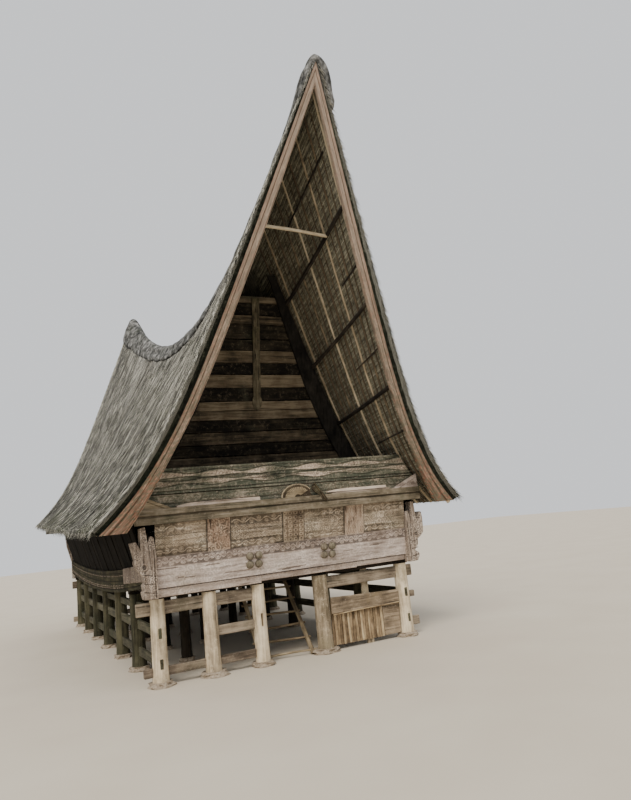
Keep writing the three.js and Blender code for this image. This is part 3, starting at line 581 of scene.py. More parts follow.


# Beam and panels: thick boards, leaning out, that close the front and rear between the corners.
# All are carved with running tendrils and knots, now worn and bleached, and once painted. Under
# the beam hang thin boards of unlike depth, with a rebate above them painted dark as the beam's shadow.

FRONT_HALF = 2.915
BEAM_LOW, BEAM_TALL, PANEL_LOW, PANEL_TALL = 1.86, 0.6, 2.461, 0.638


def face_y(z):
    """Where the plane of the leaning front lies at height z."""
    return -0.2 - 0.19 * (z - 1.68)


def ray(distance, width):
    """A soft raised line, 1 along its middle."""
    return np.clip(1.4 - np.abs(distance) / width, 0, 1)


def tendrils(u, v, pace, reach):
    """A stem that sways along v = 0, with a coiled tendril in each of its bends."""
    stem = ray(v - reach * 0.5 * np.sin(2 * np.pi * u / pace), reach * 0.15)
    bend = np.floor(2 * u / pace)
    hand = np.where(bend % 2 == 0, 1.0, -1.0)
    du, dv = u - (bend + 0.5) * pace / 2, v + hand * reach * 0.42
    away = np.hypot(du * 0.9, dv) / (reach * 0.66)
    coil = 0.5 + 0.5 * np.cos(2 * np.pi * 2.1 * away - np.arctan2(dv, du * hand))
    return np.maximum(stem, coil * np.clip((1.05 - away) * 6, 0, 1))


def knots(u, v, pitch):
    """Rows of small round knots, each coiled the other way from its neighbour."""
    column, line = np.floor(u / pitch), np.floor(v / pitch)
    du, dv = u - (column + 0.5) * pitch, v - (line + 0.5) * pitch
    hand = np.where((column + line) % 2 == 0, 1.0, -1.0)
    away = np.hypot(du, dv) / (pitch / 2)
    return 0.5 + 0.5 * np.cos(2 * np.pi * 1.55 * away - np.arctan2(dv, du * hand))


def worn(u, v, seed):
    """How much of the carving is left, from 0.35 to 1, in slow patches."""
    return 0.68 + 0.42 * rumple(u * 1.1, v * 2.2, seed) + 0.16 * rumple(u * 9, v * 9, seed + 5)


def rumple(u, v, seed):
    """Smooth uneven heights from -1 to 1, for each pair of values."""
    heights = [noise.noise(Vector((a, b, seed))) for a, b in zip(np.ravel(u), np.ravel(v))]
    return np.array(heights).reshape(u.shape)


def carved_board(width, height, cell, place, relief, depth, thickness, flat_back=True):
    """A board as a fine grid, drawn back to its thickness, its face then cut to the relief.

    place(u, v, inward) gives the points, relief(u, v) is 1 where the face is left and 0 at the
    bottom of the cuts.
    """
    across, up = max(2, round(width / cell)), max(2, round(height / cell))
    bpy.ops.mesh.primitive_grid_add(x_subdivisions=across, y_subdivisions=up, size=1)
    piece = bpy.context.object
    edit_whole(piece, bpy.ops.mesh.extrude_region_move, TRANSFORM_OT_translate={"value": (0, 0, 1)})
    mesh = piece.data
    if flat_back:
        bpy.ops.object.mode_set(mode="EDIT")
        bpy.ops.mesh.select_mode(type="FACE")
        bpy.ops.mesh.select_all(action="DESELECT")
        bpy.ops.object.mode_set(mode="OBJECT")
        for face in mesh.polygons:
            face.select = abs(face.normal.z) > 0.5 and face.center.z < 0.5
        bpy.ops.object.mode_set(mode="EDIT")
        bpy.ops.mesh.dissolve_faces()
        bpy.ops.object.mode_set(mode="OBJECT")
    places = points_of(mesh)
    u, v = (places[:, 0] + 0.5) * width, (places[:, 1] + 0.5) * height
    front = places[:, 2] > 0.5
    cut = np.clip(relief(u, v), 0, 1)
    set_points(mesh, place(u, v, np.where(front, (1 - cut) * depth, thickness)))
    note(mesh, "relief", np.where(front, cut, 1))
    note(mesh, "tone", 0.5)
    edit_whole(piece, bpy.ops.mesh.normals_make_consistent, inside=False)
    return piece


def on_face(x0, z0, proud):
    """Places for a board of the leaning front, its face proud of the front's plane."""
    def place(u, v, inward):
        z = z0 + v
        return np.stack([x0 + u, face_y(z) - proud + inward, z], -1)
    return place


def rear_copy(piece, name):
    """The same piece for the rear of the house, turned front to back in its mesh."""
    only(piece)
    bpy.ops.object.duplicate()
    copy = bpy.context.object
    places = points_of(copy.data)
    places[:, 1] = 2 * FRONT_ROW + HOUSE_LENGTH - places[:, 1]
    set_points(copy.data, places)
    edit_whole(copy, bpy.ops.mesh.flip_normals)
    copy.name = name
    copy.data.name = name
    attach(copy, "root")
    return copy


# Bleached boards have gone pale and pinkish grey, darker the deeper they are cut, with a trace of soot
CUTS = [(0.0, "322a23"), (0.35, "7f7368"), (0.7, "d9cfc5"), (1.0, "faf5f0")]
pink_wood = weathered_wood("bleached_carved_beam", ("5b5048", "9b8f87", "c6bab2", "e9e1da"), "X", 15,
                           "988d7c", (0.54, 0.7), CUTS, 0.45, chased=(9.0, 0.3), cracked=0.4)
panel_wood = weathered_wood("carved_painted_panel", ("50463c", "8f8372", "c3b6a2", "efe6d6"), "X", 15,
                            "7c7a68", (0.5, 0.68), CUTS, 0.45, chased=(9.0, 0.55))


def beam_relief(u, v):
    """A smooth beam with a running tendril cut along its upper edge, between two lines."""
    band = (v > 0.41) & (v < 0.585)
    vine = 1 - 0.95 * (1 - tendrils(u, v - 0.5, 0.24, 0.08)) * (0.35 + 0.65 * worn(u, v, 1.5))
    lines = 1 - 0.8 * (ray(v - 0.40, 0.008) + ray(v - 0.59, 0.008)) * worn(u, v, 4.5)
    split = 1 - 0.8 * (rumple(u * 0.9, v * 26, 8.0) > 0.52)
    return np.minimum(np.where(band, vine, 1.0), lines) * np.where(band, 1, split)


beam = carved_board(2 * FRONT_HALF, BEAM_TALL, 0.0158, on_face(-FRONT_HALF, BEAM_LOW, 0.032), beam_relief,
                    0.008, 0.106)
lip = board((-FRONT_HALF, 0.004, 1.68), (-0.7, 0.03, 1.838), 3, 0.008, 0.003)
stepped = board((-0.7, 0.004, 1.715), (1.62, 0.03, 1.838), 4, 0.008, 0.003)
last = board((1.62, 0.010, 1.735), (FRONT_HALF, 0.03, 1.838), 6, 0.008, 0.003)
# The strip in the rebate is painted near black, painted shadow under the beam
shadow_strip = board((-FRONT_HALF, 0.018, 1.82), (FRONT_HALF, 0.03, 1.88), 8, 0.002, 0.0)
for part in (lip, stepped, last, shadow_strip):
    places = points_of(part.data)
    places[:, 1] += face_y(places[:, 2])
    set_points(part.data, places)
    note(part.data, "relief", 0.0 if part is shadow_strip else 0.72)
KNOB, KNOB_GROUPS = 0.084, (-0.87, 0.87)
knob_parts = []
for x in KNOB_GROUPS:
    for across in (-0.097, 0.097):
        for up in (-0.087, 0.087):
            z = 2.175 + up
            bpy.ops.mesh.primitive_uv_sphere_add(segments=24, ring_count=14, radius=KNOB,
                                                 location=(x + across, face_y(z) - 0.045, z))
            knob = bpy.context.object
            knob.scale = (1, 0.95, 1)
            bpy.ops.object.transform_apply()
            bpy.ops.object.shade_smooth_by_angle(angle=math.radians(60))
            note(knob.data, "tone", 0.5)
            note(knob.data, "relief", 0.95)
            knob_parts.append(knob)
front_boards = stand("carved_front_beam", [beam, lip, stepped, last, shadow_strip], pink_wood, "red_brown_board",
                     "front_beam")
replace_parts(rear_copy(front_boards, "carved_rear_beam"), "rear_beam")

# The knobs are turned from the same wood, weathered olive where rain runs off them
knob_wood = weathered_wood("weathered_turned_knob", ("332e26", "5a5244", "7c7262", "a59b88"), "Z", 16,
                           "55553f", (0.5, 0.66), cracked=0.3)
stand("beam_knobs", knob_parts, knob_wood, "red_brown_board")


STRIPS, STRIP_HALF = (-1.62, 0.06, 1.56), 0.235


def panel_relief(u, v):
    """Rows of tendrils below and above, small knots between, and a groove beside each strip, painted as its
    shadow.
    """
    low, high = tendrils(u, v - 0.085, 0.3, 0.07), tendrils(u + 0.11, v - 0.545, 0.34, 0.075)
    middle = knots(u + 0.012 * np.sin(v * 50), v - 0.165, 0.073)
    field = np.where(v < 0.165, low, np.where(v > 0.457, high, middle))
    lines = 1 - ray(v - 0.165, 0.007) - ray(v - 0.457, 0.007)
    # Beside each strip a groove is painted dark, painted shadow of the proud strip
    strip_shadows = sum(ray(np.abs(u - FRONT_HALF - x) - STRIP_HALF - 0.014, 0.022) for x in STRIPS)
    cut = 0.9 * (1 - np.minimum(field, np.clip(lines, 0, 1))) * worn(u, v, 2.5)
    return 1 - np.maximum(cut, np.clip(strip_shadows, 0, 1))


panel = carved_board(2 * FRONT_HALF, PANEL_TALL, 0.0145, on_face(-FRONT_HALF, PANEL_LOW, 0.0), panel_relief,
                     0.008, 0.05)
panel = stand("carved_front_panels", [panel], panel_wood, "grey_plank", "front_panels")
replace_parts(rear_copy(panel, "carved_rear_panels"), "rear_panels")


def specks(u, v):
    """Fine dense pricking, worn smooth in places."""
    return 0.55 + 0.8 * rumple(u * 34, v * 26, 3.0) + 0.3 * rumple(u * 11, v * 11, 6.0)


def rings(u, v):
    """Three columns of small rings, each with a hollow in its middle."""
    du, dv = (u / 0.128 + 0.33) % 1 - 0.5, (v / 0.092) % 1 - 0.5
    away = np.hypot(du, dv)
    hole = ray(np.hypot(u - 0.245, (v - 0.38) * 0.7), 0.022)
    hole = hole + ray(np.hypot(u - 0.235, (v - 0.31) * 0.7), 0.018)
    return np.clip(0.25 + 0.9 * ray(away - 0.3, 0.11) - 0.5 * ray(away, 0.12) - hole, 0, 1)


def waves(u, v):
    """Upright lines that cross and part again, like wickerwork."""
    sway = 0.075 * np.sin(2 * np.pi * v / 0.42)
    there = 0.5 + 0.5 * np.cos(2 * np.pi * (u - 0.235 + sway) / 0.062)
    back = 0.5 + 0.5 * np.cos(2 * np.pi * (u - 0.235 - sway) / 0.062)
    return np.maximum(there, back) * 0.9


strip_woods = [weathered_wood("pricked_pink_strip", ("54463b", "8a7565", "ab9683", "c8bbaa"), "Z", 13,
                              "807563", (0.58, 0.74), CUTS, 0.4, chased=(11.0, 0.8)),
               weathered_wood("ring_carved_strip", ("463c33", "776a5c", "9a8c79", "bfb29d"), "Z", 13,
                              "77715f", (0.56, 0.72), CUTS, 0.4),
               weathered_wood("wave_carved_strip", ("58493d", "8f7d6c", "b3a290", "d2c6b5"), "Z", 13,
                              "9f927b", (0.58, 0.74), CUTS, 0.4)]
for place, x, cut, wood in zip(("left", "centre", "right"), STRIPS, (specks, rings, waves), strip_woods):
    def kept(u, v, cut=cut):
        edge = np.minimum(np.minimum(u, 2 * STRIP_HALF - u), np.minimum(v, PANEL_TALL - v))
        return np.where(edge < 0.018, 1, 1 - 0.9 * (1 - np.clip(cut(u, v), 0, 1)) * worn(u, v, x))
    strip = carved_board(2 * STRIP_HALF, PANEL_TALL, 0.009, on_face(x - STRIP_HALF, PANEL_LOW, 0.028), kept,
                         0.008, 0.0275)
    stand(f"{place}_carved_strip", [strip], wood, "red_brown_board", f"{place}_panel_strip")


# Corner heads: a horned animal's head on a stepped neck, sawn from one thick board, its horns two
# upright blades. Its eye, mouth and neck lines are raised beads, the pupil and the lines painted dark
# as the shade of carved cuts. Plain boards close the corners at the rear.

def sawn(outline, y0, y1, seed, bevel=0.012):
    """A board sawn to an outline of x and z, its edges worn."""
    bpy.ops.mesh.primitive_circle_add(vertices=len(outline), fill_type="NGON")
    piece = bpy.context.object
    edit_whole(piece, bpy.ops.mesh.extrude_region_move, TRANSFORM_OT_translate={"value": (0, 0, 1)})
    mesh = piece.data
    flat = points_of(mesh)
    start = math.atan2(flat[0, 1], flat[0, 0])
    turn = (np.arctan2(flat[:, 1], flat[:, 0]) - start) / (2 * np.pi) * len(outline)
    step = np.rint(turn).astype(int) % len(outline)
    outline = np.array(outline)
    set_points(mesh, np.stack([outline[step, 0], np.where(flat[:, 2] > 0.5, y1, y0), outline[step, 1]], -1))
    edit_whole(piece, bpy.ops.mesh.normals_make_consistent, inside=False)
    edge = piece.modifiers.new("worn edges", "BEVEL")
    edge.width = bevel
    edge.segments = 2
    edge.limit_method = "ANGLE"
    bpy.ops.object.modifier_apply(modifier=edge.name)
    note(mesh, "tone", tone_of(seed))
    note(mesh, "relief", 1.0)
    return piece


def torus(place, ring, tube):
    """A round bead laid on the face, as an eye or its rim."""
    bpy.ops.mesh.primitive_torus_add(location=place, rotation=(math.radians(90), 0, 0), major_radius=ring,
                                     minor_radius=tube, major_segments=28, minor_segments=10)
    loop = bpy.context.object
    bpy.ops.object.transform_apply()
    bpy.ops.object.shade_smooth_by_angle(angle=math.radians(60))
    note(loop.data, "tone", 0.8)
    note(loop.data, "relief", 1.0)
    return loop


# Outlines of x and z, x counted outward from the middle of the house
LEFT_HEAD = [(2.9155, 1.68), (3.19, 1.69), (3.22, 1.83), (3.19, 1.86), (3.205, 1.97), (3.17, 2.0),
             (3.185, 2.12), (3.25, 2.19), (3.31, 2.29), (3.345, 2.39), (3.33, 2.46), (3.37, 2.64),
             (3.40, 2.785), (3.30, 2.80), (3.235, 2.68), (3.215, 2.62), (3.21, 2.85), (3.205, 3.05),
             (3.11, 3.07), (3.085, 2.9), (3.075, 2.76), (3.05, 2.82), (3.01, 2.885), (2.95, 2.855),
             (2.93, 2.66), (2.9155, 2.5)]
RIGHT_HEAD = [(2.9155, 1.68), (3.14, 1.69), (3.20, 1.80), (3.19, 1.87), (3.09, 1.93), (3.19, 2.05),
              (3.205, 2.18), (3.30, 2.24), (3.38, 2.32), (3.40, 2.50), (3.405, 2.66), (3.39, 2.79),
              (3.36, 2.81), (3.31, 2.70), (3.27, 2.60), (3.22, 2.68), (3.215, 2.90), (3.20, 3.05),
              (3.11, 3.06), (3.10, 2.80), (3.07, 2.60), (3.02, 2.85), (2.96, 2.84), (2.93, 2.66),
              (2.9155, 2.5)]
REAR_CORNER = [(2.9155, 1.69), (3.14, 1.70), (3.15, 2.30), (3.30, 2.86), (3.32, 3.09), (2.9155, 3.09)]
HEAD_FACE, HEAD_BACK, CARVED_AT, EYE_RIM_AT = -0.435, -0.2035, -0.434, -0.436
EYE_X, EYE_Z = 3.165, 2.30
MOUTH_LINES = (((3.0, 1.80), (3.19, 1.84)), ((3.0, 1.97), (3.18, 1.99)), ((3.02, 2.13), (3.19, 2.16)))
NECK_LINES = (((2.965, 1.72), (2.96, 2.62)), ((3.03, 2.25), (3.06, 2.73)))
head_wood = weathered_wood("bleached_carved_head", ("4f443b", "85786c", "ac9f92", "d0c6bb"), "Z", 16,
                           "7f7b66", (0.58, 0.74), CUTS, 0.5, chased=(13.0, 0.85))
for side, place, outline in ((-1, "left", LEFT_HEAD), (1, "right", RIGHT_HEAD)):
    parts = [sawn([(side * x, z) for x, z in outline], HEAD_FACE, HEAD_BACK, 3 + side),
             torus((side * EYE_X, EYE_RIM_AT, EYE_Z), 0.062, 0.013),
             torus((side * EYE_X, CARVED_AT, EYE_Z), 0.027, 0.012)]
    for line in MOUTH_LINES:
        parts.append(pole([(side * x, CARVED_AT, z) for x, z in line], 0.010, 0.007, 3, 0.0, 8, 3))
    straight, bent = ([(side * x, CARVED_AT, z) for x, z in line] for line in NECK_LINES)
    parts += [pole(straight, 0.012, 0.010, 5, 0.002, 8, 8), pole(bent, 0.011, 0.007, 6, 0.01, 8, 8)]
    # Low relief values paint the pupil and the mouth and neck beads dark, painted shade of carved cuts
    for part, left in zip(parts, (1, 0.75, 0.0, 0.1, 0.1, 0.1, 0.25, 0.2)):
        note(part.data, "relief", left)
    stand(f"{place}_horned_head", parts, head_wood, "red_brown_board", f"{place}_corner_head")
    rear = HOUSE_LENGTH - HEAD_BACK
    plain = sawn([(side * x, z) for x, z in REAR_CORNER], rear, rear + 0.06, 7 + side)
    stand(f"rear_{place}_corner_board", [plain], head_wood, "red_brown_board")


# Ledge and loft boards: a heavy grooved beam across the front, a broken carved arch and saw-edged
# corner pieces on it, and behind them two broad carved boards that close the loft. The rear has
# the beam and the boards alone.

LEDGE_FRONT, LEDGE_BACK, LEDGE_LOW, LEDGE_TOP, LEDGE_HALF = -0.6098, -0.3798, 3.1, 3.39, 3.3


def ledge_relief(u, v):
    """One long groove, chipped edges and the wear of old wood."""
    groove = ray(v - 0.148, 0.013) * 1.1
    chipped = 0.35 * (rumple(u * 3, v * 14, 12.0) > 0.45)
    return 1 - groove - chipped * 0.5 - 0.12 * (1 + rumple(u * 6, v * 20, 14.0))


def ledge_place(u, v, inward):
    """Places on the ledge: its upper part stands a little proud, and its edges waver."""
    step = 0.02 * np.clip((v - 0.14) / 0.02, 0, 1)
    y = np.where(inward > 0.1, LEDGE_BACK, LEDGE_FRONT - step + inward)
    waste = 0.006 * rumple(u * 1.3, v * 0, 3.0) * np.sin(np.pi * v / 0.29 - np.pi / 2)
    return np.stack([u - LEDGE_HALF, y, LEDGE_LOW + v + waste], -1)


ledge_wood = weathered_wood("mossy_grooved_ledge", ("2d2922", "564f42", "7c7262", "a1978a"), "X", 15,
                            "4b4d3b", (0.52, 0.7), [(0.0, "2c2820"), (0.5, "a09888"), (0.9, "f2efe6")], 0.5)
ledge = carved_board(2 * LEDGE_HALF, 0.29, 0.019, ledge_place, ledge_relief, 0.016, 0.23)
ledge = stand("grooved_ledge_beam", [ledge], ledge_wood, "grey_plank", "front_ledge_beam")
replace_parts(rear_copy(ledge, "grooved_rear_ledge_beam"), "rear_ledge_beam")

ON_LEDGE = LEDGE_TOP + 0.0003
ARCH_MIDDLE = 0.15


def on_arch(step, steps, across, up):
    """x and z on an arch of this half width and height, from its left foot in so many steps."""
    turn = math.pi * (1 - step / steps)
    return ARCH_MIDDLE + across * math.cos(turn), ON_LEDGE + up * math.sin(turn)


rim = [on_arch(i, 18, 0.37, 0.27) for i in range(19)]
broken = [(0.47, 3.53), (0.45, 3.46), (0.50, ON_LEDGE)]
arch = sawn([point for point in rim if point[0] < 0.46] + broken, LEDGE_FRONT + 0.01, LEDGE_FRONT + 0.06, 2,
            0.004)
inner_rim = [on_arch(i, 14, 0.30, 0.21) for i in range(12)]
parts = [arch, pole([(x, LEDGE_FRONT + 0.010, z) for x, z in inner_rim], 0.010, 0.010, 4, 0.0, 8, 22)]
for i in range(26):
    x, z = on_arch(i, 31, 0.362, 0.262)
    bpy.ops.mesh.primitive_ico_sphere_add(subdivisions=2, radius=0.021,
                                          location=(x, LEDGE_FRONT + 0.026, z))
    parts.append(bpy.context.object)
    bpy.ops.object.transform_apply()
    note(parts[-1].data, "tone", 1.9)
note(parts[0].data, "tone", -0.9)
for i in range(17):
    ends = [on_arch(i, 20, reach, reach * 0.72) for reach in (0.07, 0.29)]
    parts.append(pole([(x, LEDGE_FRONT + 0.009, z) for x, z in ends], 0.010, 0.016, i, 0.0, 8, 3))
    note(parts[-1].data, "tone", 0.9)
for part in parts:
    note(part.data, "relief", 1.0)
arch_wood = weathered_wood("olive_carved_arch", ("383025", "5f5442", "82755e", "a89b83"), "X", 16, "4c4c37",
                           (0.5, 0.66), CUTS, 0.5)
stand("beaded_ledge_arch", parts, arch_wood, "grey_plank", "ledge_arch")

# A short hollowed brace leans from the arch's broken end down over the ledge, with a raised rim;
# the hollow is not cut, its flat face is painted dark as the hollow's shade
BRACE = [(0.485, 3.52), (0.50, 3.62), (0.565, 3.645), (0.66, 3.56), (0.775, 3.40), (0.835, 3.30),
         (0.81, 3.235), (0.745, 3.275), (0.62, 3.41)]
BRACE_RIM = [(0.555, 3.645), (0.65, 3.57), (0.77, 3.415), (0.835, 3.31), (0.82, 3.24)]
brace = [sawn(BRACE, LEDGE_FRONT - 0.030, LEDGE_FRONT + 0.008, 9, 0.006),
         pole([(x, LEDGE_FRONT - 0.034, z) for x, z in BRACE_RIM], 0.022, 0.019, 5, 0.0, 8, 16)]
for part in brace:
    note(part.data, "relief", 1.0)
# Painted shade: the brace's flat face is made much darker than the arch
note(brace[0].data, "tone", -2.0)
note(brace[1].data, "tone", -0.4)
stand("broken_ledge_brace", brace, arch_wood, "grey_plank")

# Saw-edged ends rise towards the corners, a raised line below their teeth
TEETH = 15
for side, place in SIDES:
    low, high = Vector((2.58, ON_LEDGE)), Vector((3.26, 3.69))
    outline = [(3.28, ON_LEDGE)]
    for i in range(TEETH, 0, -1):
        point, notch = low.lerp(high, i / TEETH), low.lerp(high, (i - 0.9) / TEETH)
        outline += [tuple(point), (notch.x, notch.y - 0.006)]
    outline += [(low.x, low.y)]
    outline = [(side * x, z) for x, z in outline]
    end = sawn(outline, LEDGE_FRONT + 0.01, LEDGE_FRONT + 0.06, 4 + side, 0.002)
    inner = [low.lerp(high, share) + Vector((0.03, -0.055)) for share in (0.12, 0.4, 0.7, 0.97)]
    line = pole([(side * p.x, LEDGE_FRONT + 0.009, p.y) for p in inner], 0.009, 0.009, 5, 0.0, 8, 10)
    note(line.data, "relief", 1.0)
    stand(f"{place}_saw_edged_end", [end, line], pink_wood if side > 0 else arch_wood, "grey_plank",
          f"{place}_ledge_end")

# Planks laid on the ledge, split pale and hardly greyed
fresh_plank = weathered_wood("fresh_split_plank", ("6d5b4c", "a28f7d", "c2b09f", "d9cabb"), "X", 12,
                             "8d8070", (0.6, 0.78), None, 0.35)


def laid_planks(ends, seed, name, node_name):
    """Thin planks laid on one another, pointed at the left end."""
    layers = []
    for i, (x0, x1, low, high, y0, y1) in enumerate(ends):
        plank = board((x0, y0, low), (x1, y1, high), seed + i, 0.004, 0.003, 0.2)
        places = points_of(plank.data)
        point = np.clip((x0 + 0.28 - places[:, 0]) / 0.28, 0, 1)
        places[:, 2] -= point * (places[:, 2] - low) * 0.6
        set_points(plank.data, places)
        layers.append(plank)
    stand(name, layers, fresh_plank, "grey_plank", node_name)


laid_planks([(-2.48, -0.70, ON_LEDGE, 3.464, -0.5478, -0.4738)], 1, "left_laid_plank", "left_ledge_plank")
laid_planks([(1.0, 2.5, ON_LEDGE, 3.425, -0.5478, -0.4738), (0.9, 2.42, 3.4255, 3.488, -0.5678, -0.4738)],
            5, "right_laid_planks", "right_ledge_plank")

# The loft boards reach from slope to slope, so their ends follow the underside of the roof
VERGE_Y, VERGE_LEAN, VERGE_Z = (-0.888, 13.1), (-0.339, 0.2), 3.0
BED_HALF = (4.04, 4.13)
EAVE_THICK, RIDGE_THICK = 0.09, 0.1


def between(pair, share):
    """The value at this share of the way from the first of a pair to the second."""
    return pair[0] + (pair[1] - pair[0]) * share


def station_y(s, z):
    """How far back the leaning plane of roof station s, 0 in front and 1 behind, lies at height z."""
    return between(VERGE_Y, s) + between(VERGE_LEAN, s) * (z - VERGE_Z)


def station_at(y, z):
    """The roof station whose leaning plane passes through y and z."""
    front, rear = (VERGE_Y[i] + VERGE_LEAN[i] * (z - VERGE_Z) for i in (0, 1))
    return (y - front) / (rear - front)


def ridge_z(s):
    """Height of the ridge, which sags in the middle and rises most at the rear."""
    reach = np.abs(2 * s - 1)
    return 9.1 + np.where(s < 0.5, 2.6 * reach ** 1.9, 3.32 * reach ** 2.3)


def eave_z(s):
    """Height of the eave, which rises slowly to the rear."""
    return 3.07 + 0.68 * np.maximum(s, 0) ** 1.35


def bed(s, t):
    """Half width and height of the thatch's underside at station s, eave 0 to ridge 1."""
    half = between(BED_HALF, s) * (0.797 * (1 - t) + 0.203 * np.clip(1 - t, 0, 1) ** 7.9)
    return half, between((eave_z(s) - EAVE_THICK, ridge_z(s) - RIDGE_THICK), t)


def roof_half(y, z, inset):
    """Half the width between the slopes at y and z, less the inset."""
    s = station_at(y, z)
    t = (z - eave_z(s) + EAVE_THICK) / (ridge_z(s) - RIDGE_THICK - eave_z(s) + EAVE_THICK)
    return np.maximum(bed(s, np.clip(t, 0, 1))[0] - inset, 0.0)


LOFT_TOP, LOFT_SEAM, LOFT_BEHIND, UNDER_ROOF = 4.17, 3.675, 0.07, 0.15
loft_wood = weathered_wood("painted_carved_loft_board", ("2f312a", "5b5f52", "878475", "d9cabb"), "X", 13,
                           "434e43", (0.5, 0.66), CUTS, 0.5, chased=(9.0, 0.45))


def from_leaf(u, v):
    """Distance beyond the nearest of two chains of long painted leaves, less than 0 inside one."""
    half = 0.016 + 0.048 * (0.5 + 0.5 * np.sin(2 * np.pi * u / 1.15 + 0.6)) ** 0.8
    upper = np.abs(v - 0.345 - 0.012 * np.sin(2 * np.pi * u / 1.15)) - half
    lower = np.abs(v - 0.195 + 0.012 * np.sin(2 * np.pi * u / 1.15)) - half * 0.9
    return np.minimum(upper, lower)


def upper_relief(u, v):
    """Two chains of long leaves, pricked with small knots, and plain worn wood around them."""
    beyond = from_leaf(u, v)
    pricked = 1 - 0.85 * (1 - knots(u + 0.01 * np.sin(v * 40), v, 0.052)) * worn(u, v, 30.0)
    lines = ray(beyond - 0.014, 0.009) + ray(v - 0.05, 0.008) + 0.8 * ray(v - 0.45, 0.007)
    plain = 1 - 0.85 * np.clip(lines, 0, 1) - 0.25 * (rumple(u * 1.5, v * 24, 31.0) > 0.4)
    return np.where(beyond < -0.012, pricked, plain)


def lower_relief(u, v):
    """One row of rings along the middle, between plain lines."""
    away = np.hypot((u / 0.155) % 1 - 0.5, (v - 0.17) / 0.155)
    row = np.abs(v - 0.17) < 0.075
    ring = np.clip(0.35 + ray(away - 0.32, 0.10) + ray(away, 0.10), 0, 1)
    lines = ray(v - 0.085, 0.008) + ray(v - 0.255, 0.008)
    return np.where(row, 1 - 0.8 * (1 - ring) * worn(u, v, 33.0), 1 - 0.7 * np.clip(lines, 0, 1))


for turned, end in ((False, "front"), (True, "rear")):
    def between_slopes(low, proud, turned=turned):
        def place(u, v, inward):
            z = low + v
            y = face_y(z) + LOFT_BEHIND - proud + inward
            if turned:
                y = HOUSE_LENGTH - y
            half = roof_half(y, z, UNDER_ROOF)
            return np.stack([(u / 3.0 - 1) * half * (-1 if turned else 1), y, z], -1)
        return place
    lower = carved_board(6.0, 0.262, 0.0165, between_slopes(ON_LEDGE, 0.012), lower_relief, 0.008, 0.05)
    upper = carved_board(6.0, LOFT_TOP - LOFT_SEAM, 0.0165, between_slopes(LOFT_SEAM, -0.004), upper_relief,
                         0.009, 0.045)
    for part in (lower, upper):
        places = points_of(part.data)
        u, v = places[:, 0], places[:, 2]
        heights = (LOFT_SEAM, LOFT_TOP)
        spread = np.interp(v, heights, [roof_half(face_y(z) + LOFT_BEHIND, z, UNDER_ROOF) for z in heights])
        painted = from_leaf((u * (-1 if turned else 1) / spread + 1) * 3, v - LOFT_SEAM)
        faded = 1.7 * np.clip(-painted / 0.01, 0, 1) * (0.6 + 0.5 * rumple(u * 1.2, v, 8.0))
        note(part.data, "tone", faded if part is upper else 0.25 + 0.5 * rumple(u * 2, v * 3, 3.0))
    stand(f"{end}_carved_loft_boards", [lower, upper], loft_wood, "grey_plank", f"{end}_loft_boards")


# Side beams and side walls: long beams bent down amidships like a boat's strakes, dotted with
# rows of small pale studs, and on them a wall of upright boards that leans out under the eave. A
# thick bleached block covers the front end of the left beam.

STRAKE_OUTER, STRAKE_START, STRAKE_TALL = 3.14, -0.1997, 0.53


def strake_low(y):
    """Height of the beam's lower edge."""
    return 1.59 + 0.3 * ((y - HOUSE_LENGTH / 2) / (HOUSE_LENGTH / 2)) ** 2


def strake_high(y):
    """Height of the beam's upper edge."""
    return 2.12 + 0.21 * ((y - HOUSE_LENGTH / 2) / (HOUSE_LENGTH / 2)) ** 2


def strake_relief(u, v):
    """Plain, with three long grooves and the splits of old wood."""
    lines = np.clip(ray(v - 0.078, 0.014) + ray(v - 0.26, 0.014) + ray(v - 0.442, 0.014), 0, 1)
    return 1 - 0.8 * lines - 0.2 * (rumple(u * 0.8, v * 22, 45.0) > 0.42)


def mesh_of(name, places, faces, tracks=None):
    """A mesh of points and faces, with a UV map where its fibre has to follow a slope."""
    mesh = bpy.data.meshes.new(name)
    mesh.from_pydata(places.reshape(-1, 3).tolist(), [], faces)
    if tracks is not None:
        corners = np.empty(len(mesh.loops), np.int32)
        mesh.loops.foreach_get("vertex_index", corners)
        laid = mesh.uv_layers.new(name="slope")
        laid.data.foreach_set("uv", tracks.reshape(-1, 2)[corners].astype(np.float32).ravel())
    piece = bpy.data.objects.new(name, mesh)
    bpy.context.scene.collection.objects.link(piece)
    return piece


STUD, STUD_PITCH, STUD_ROWS = 0.014, 0.085, (0.2, 0.29, 0.74)
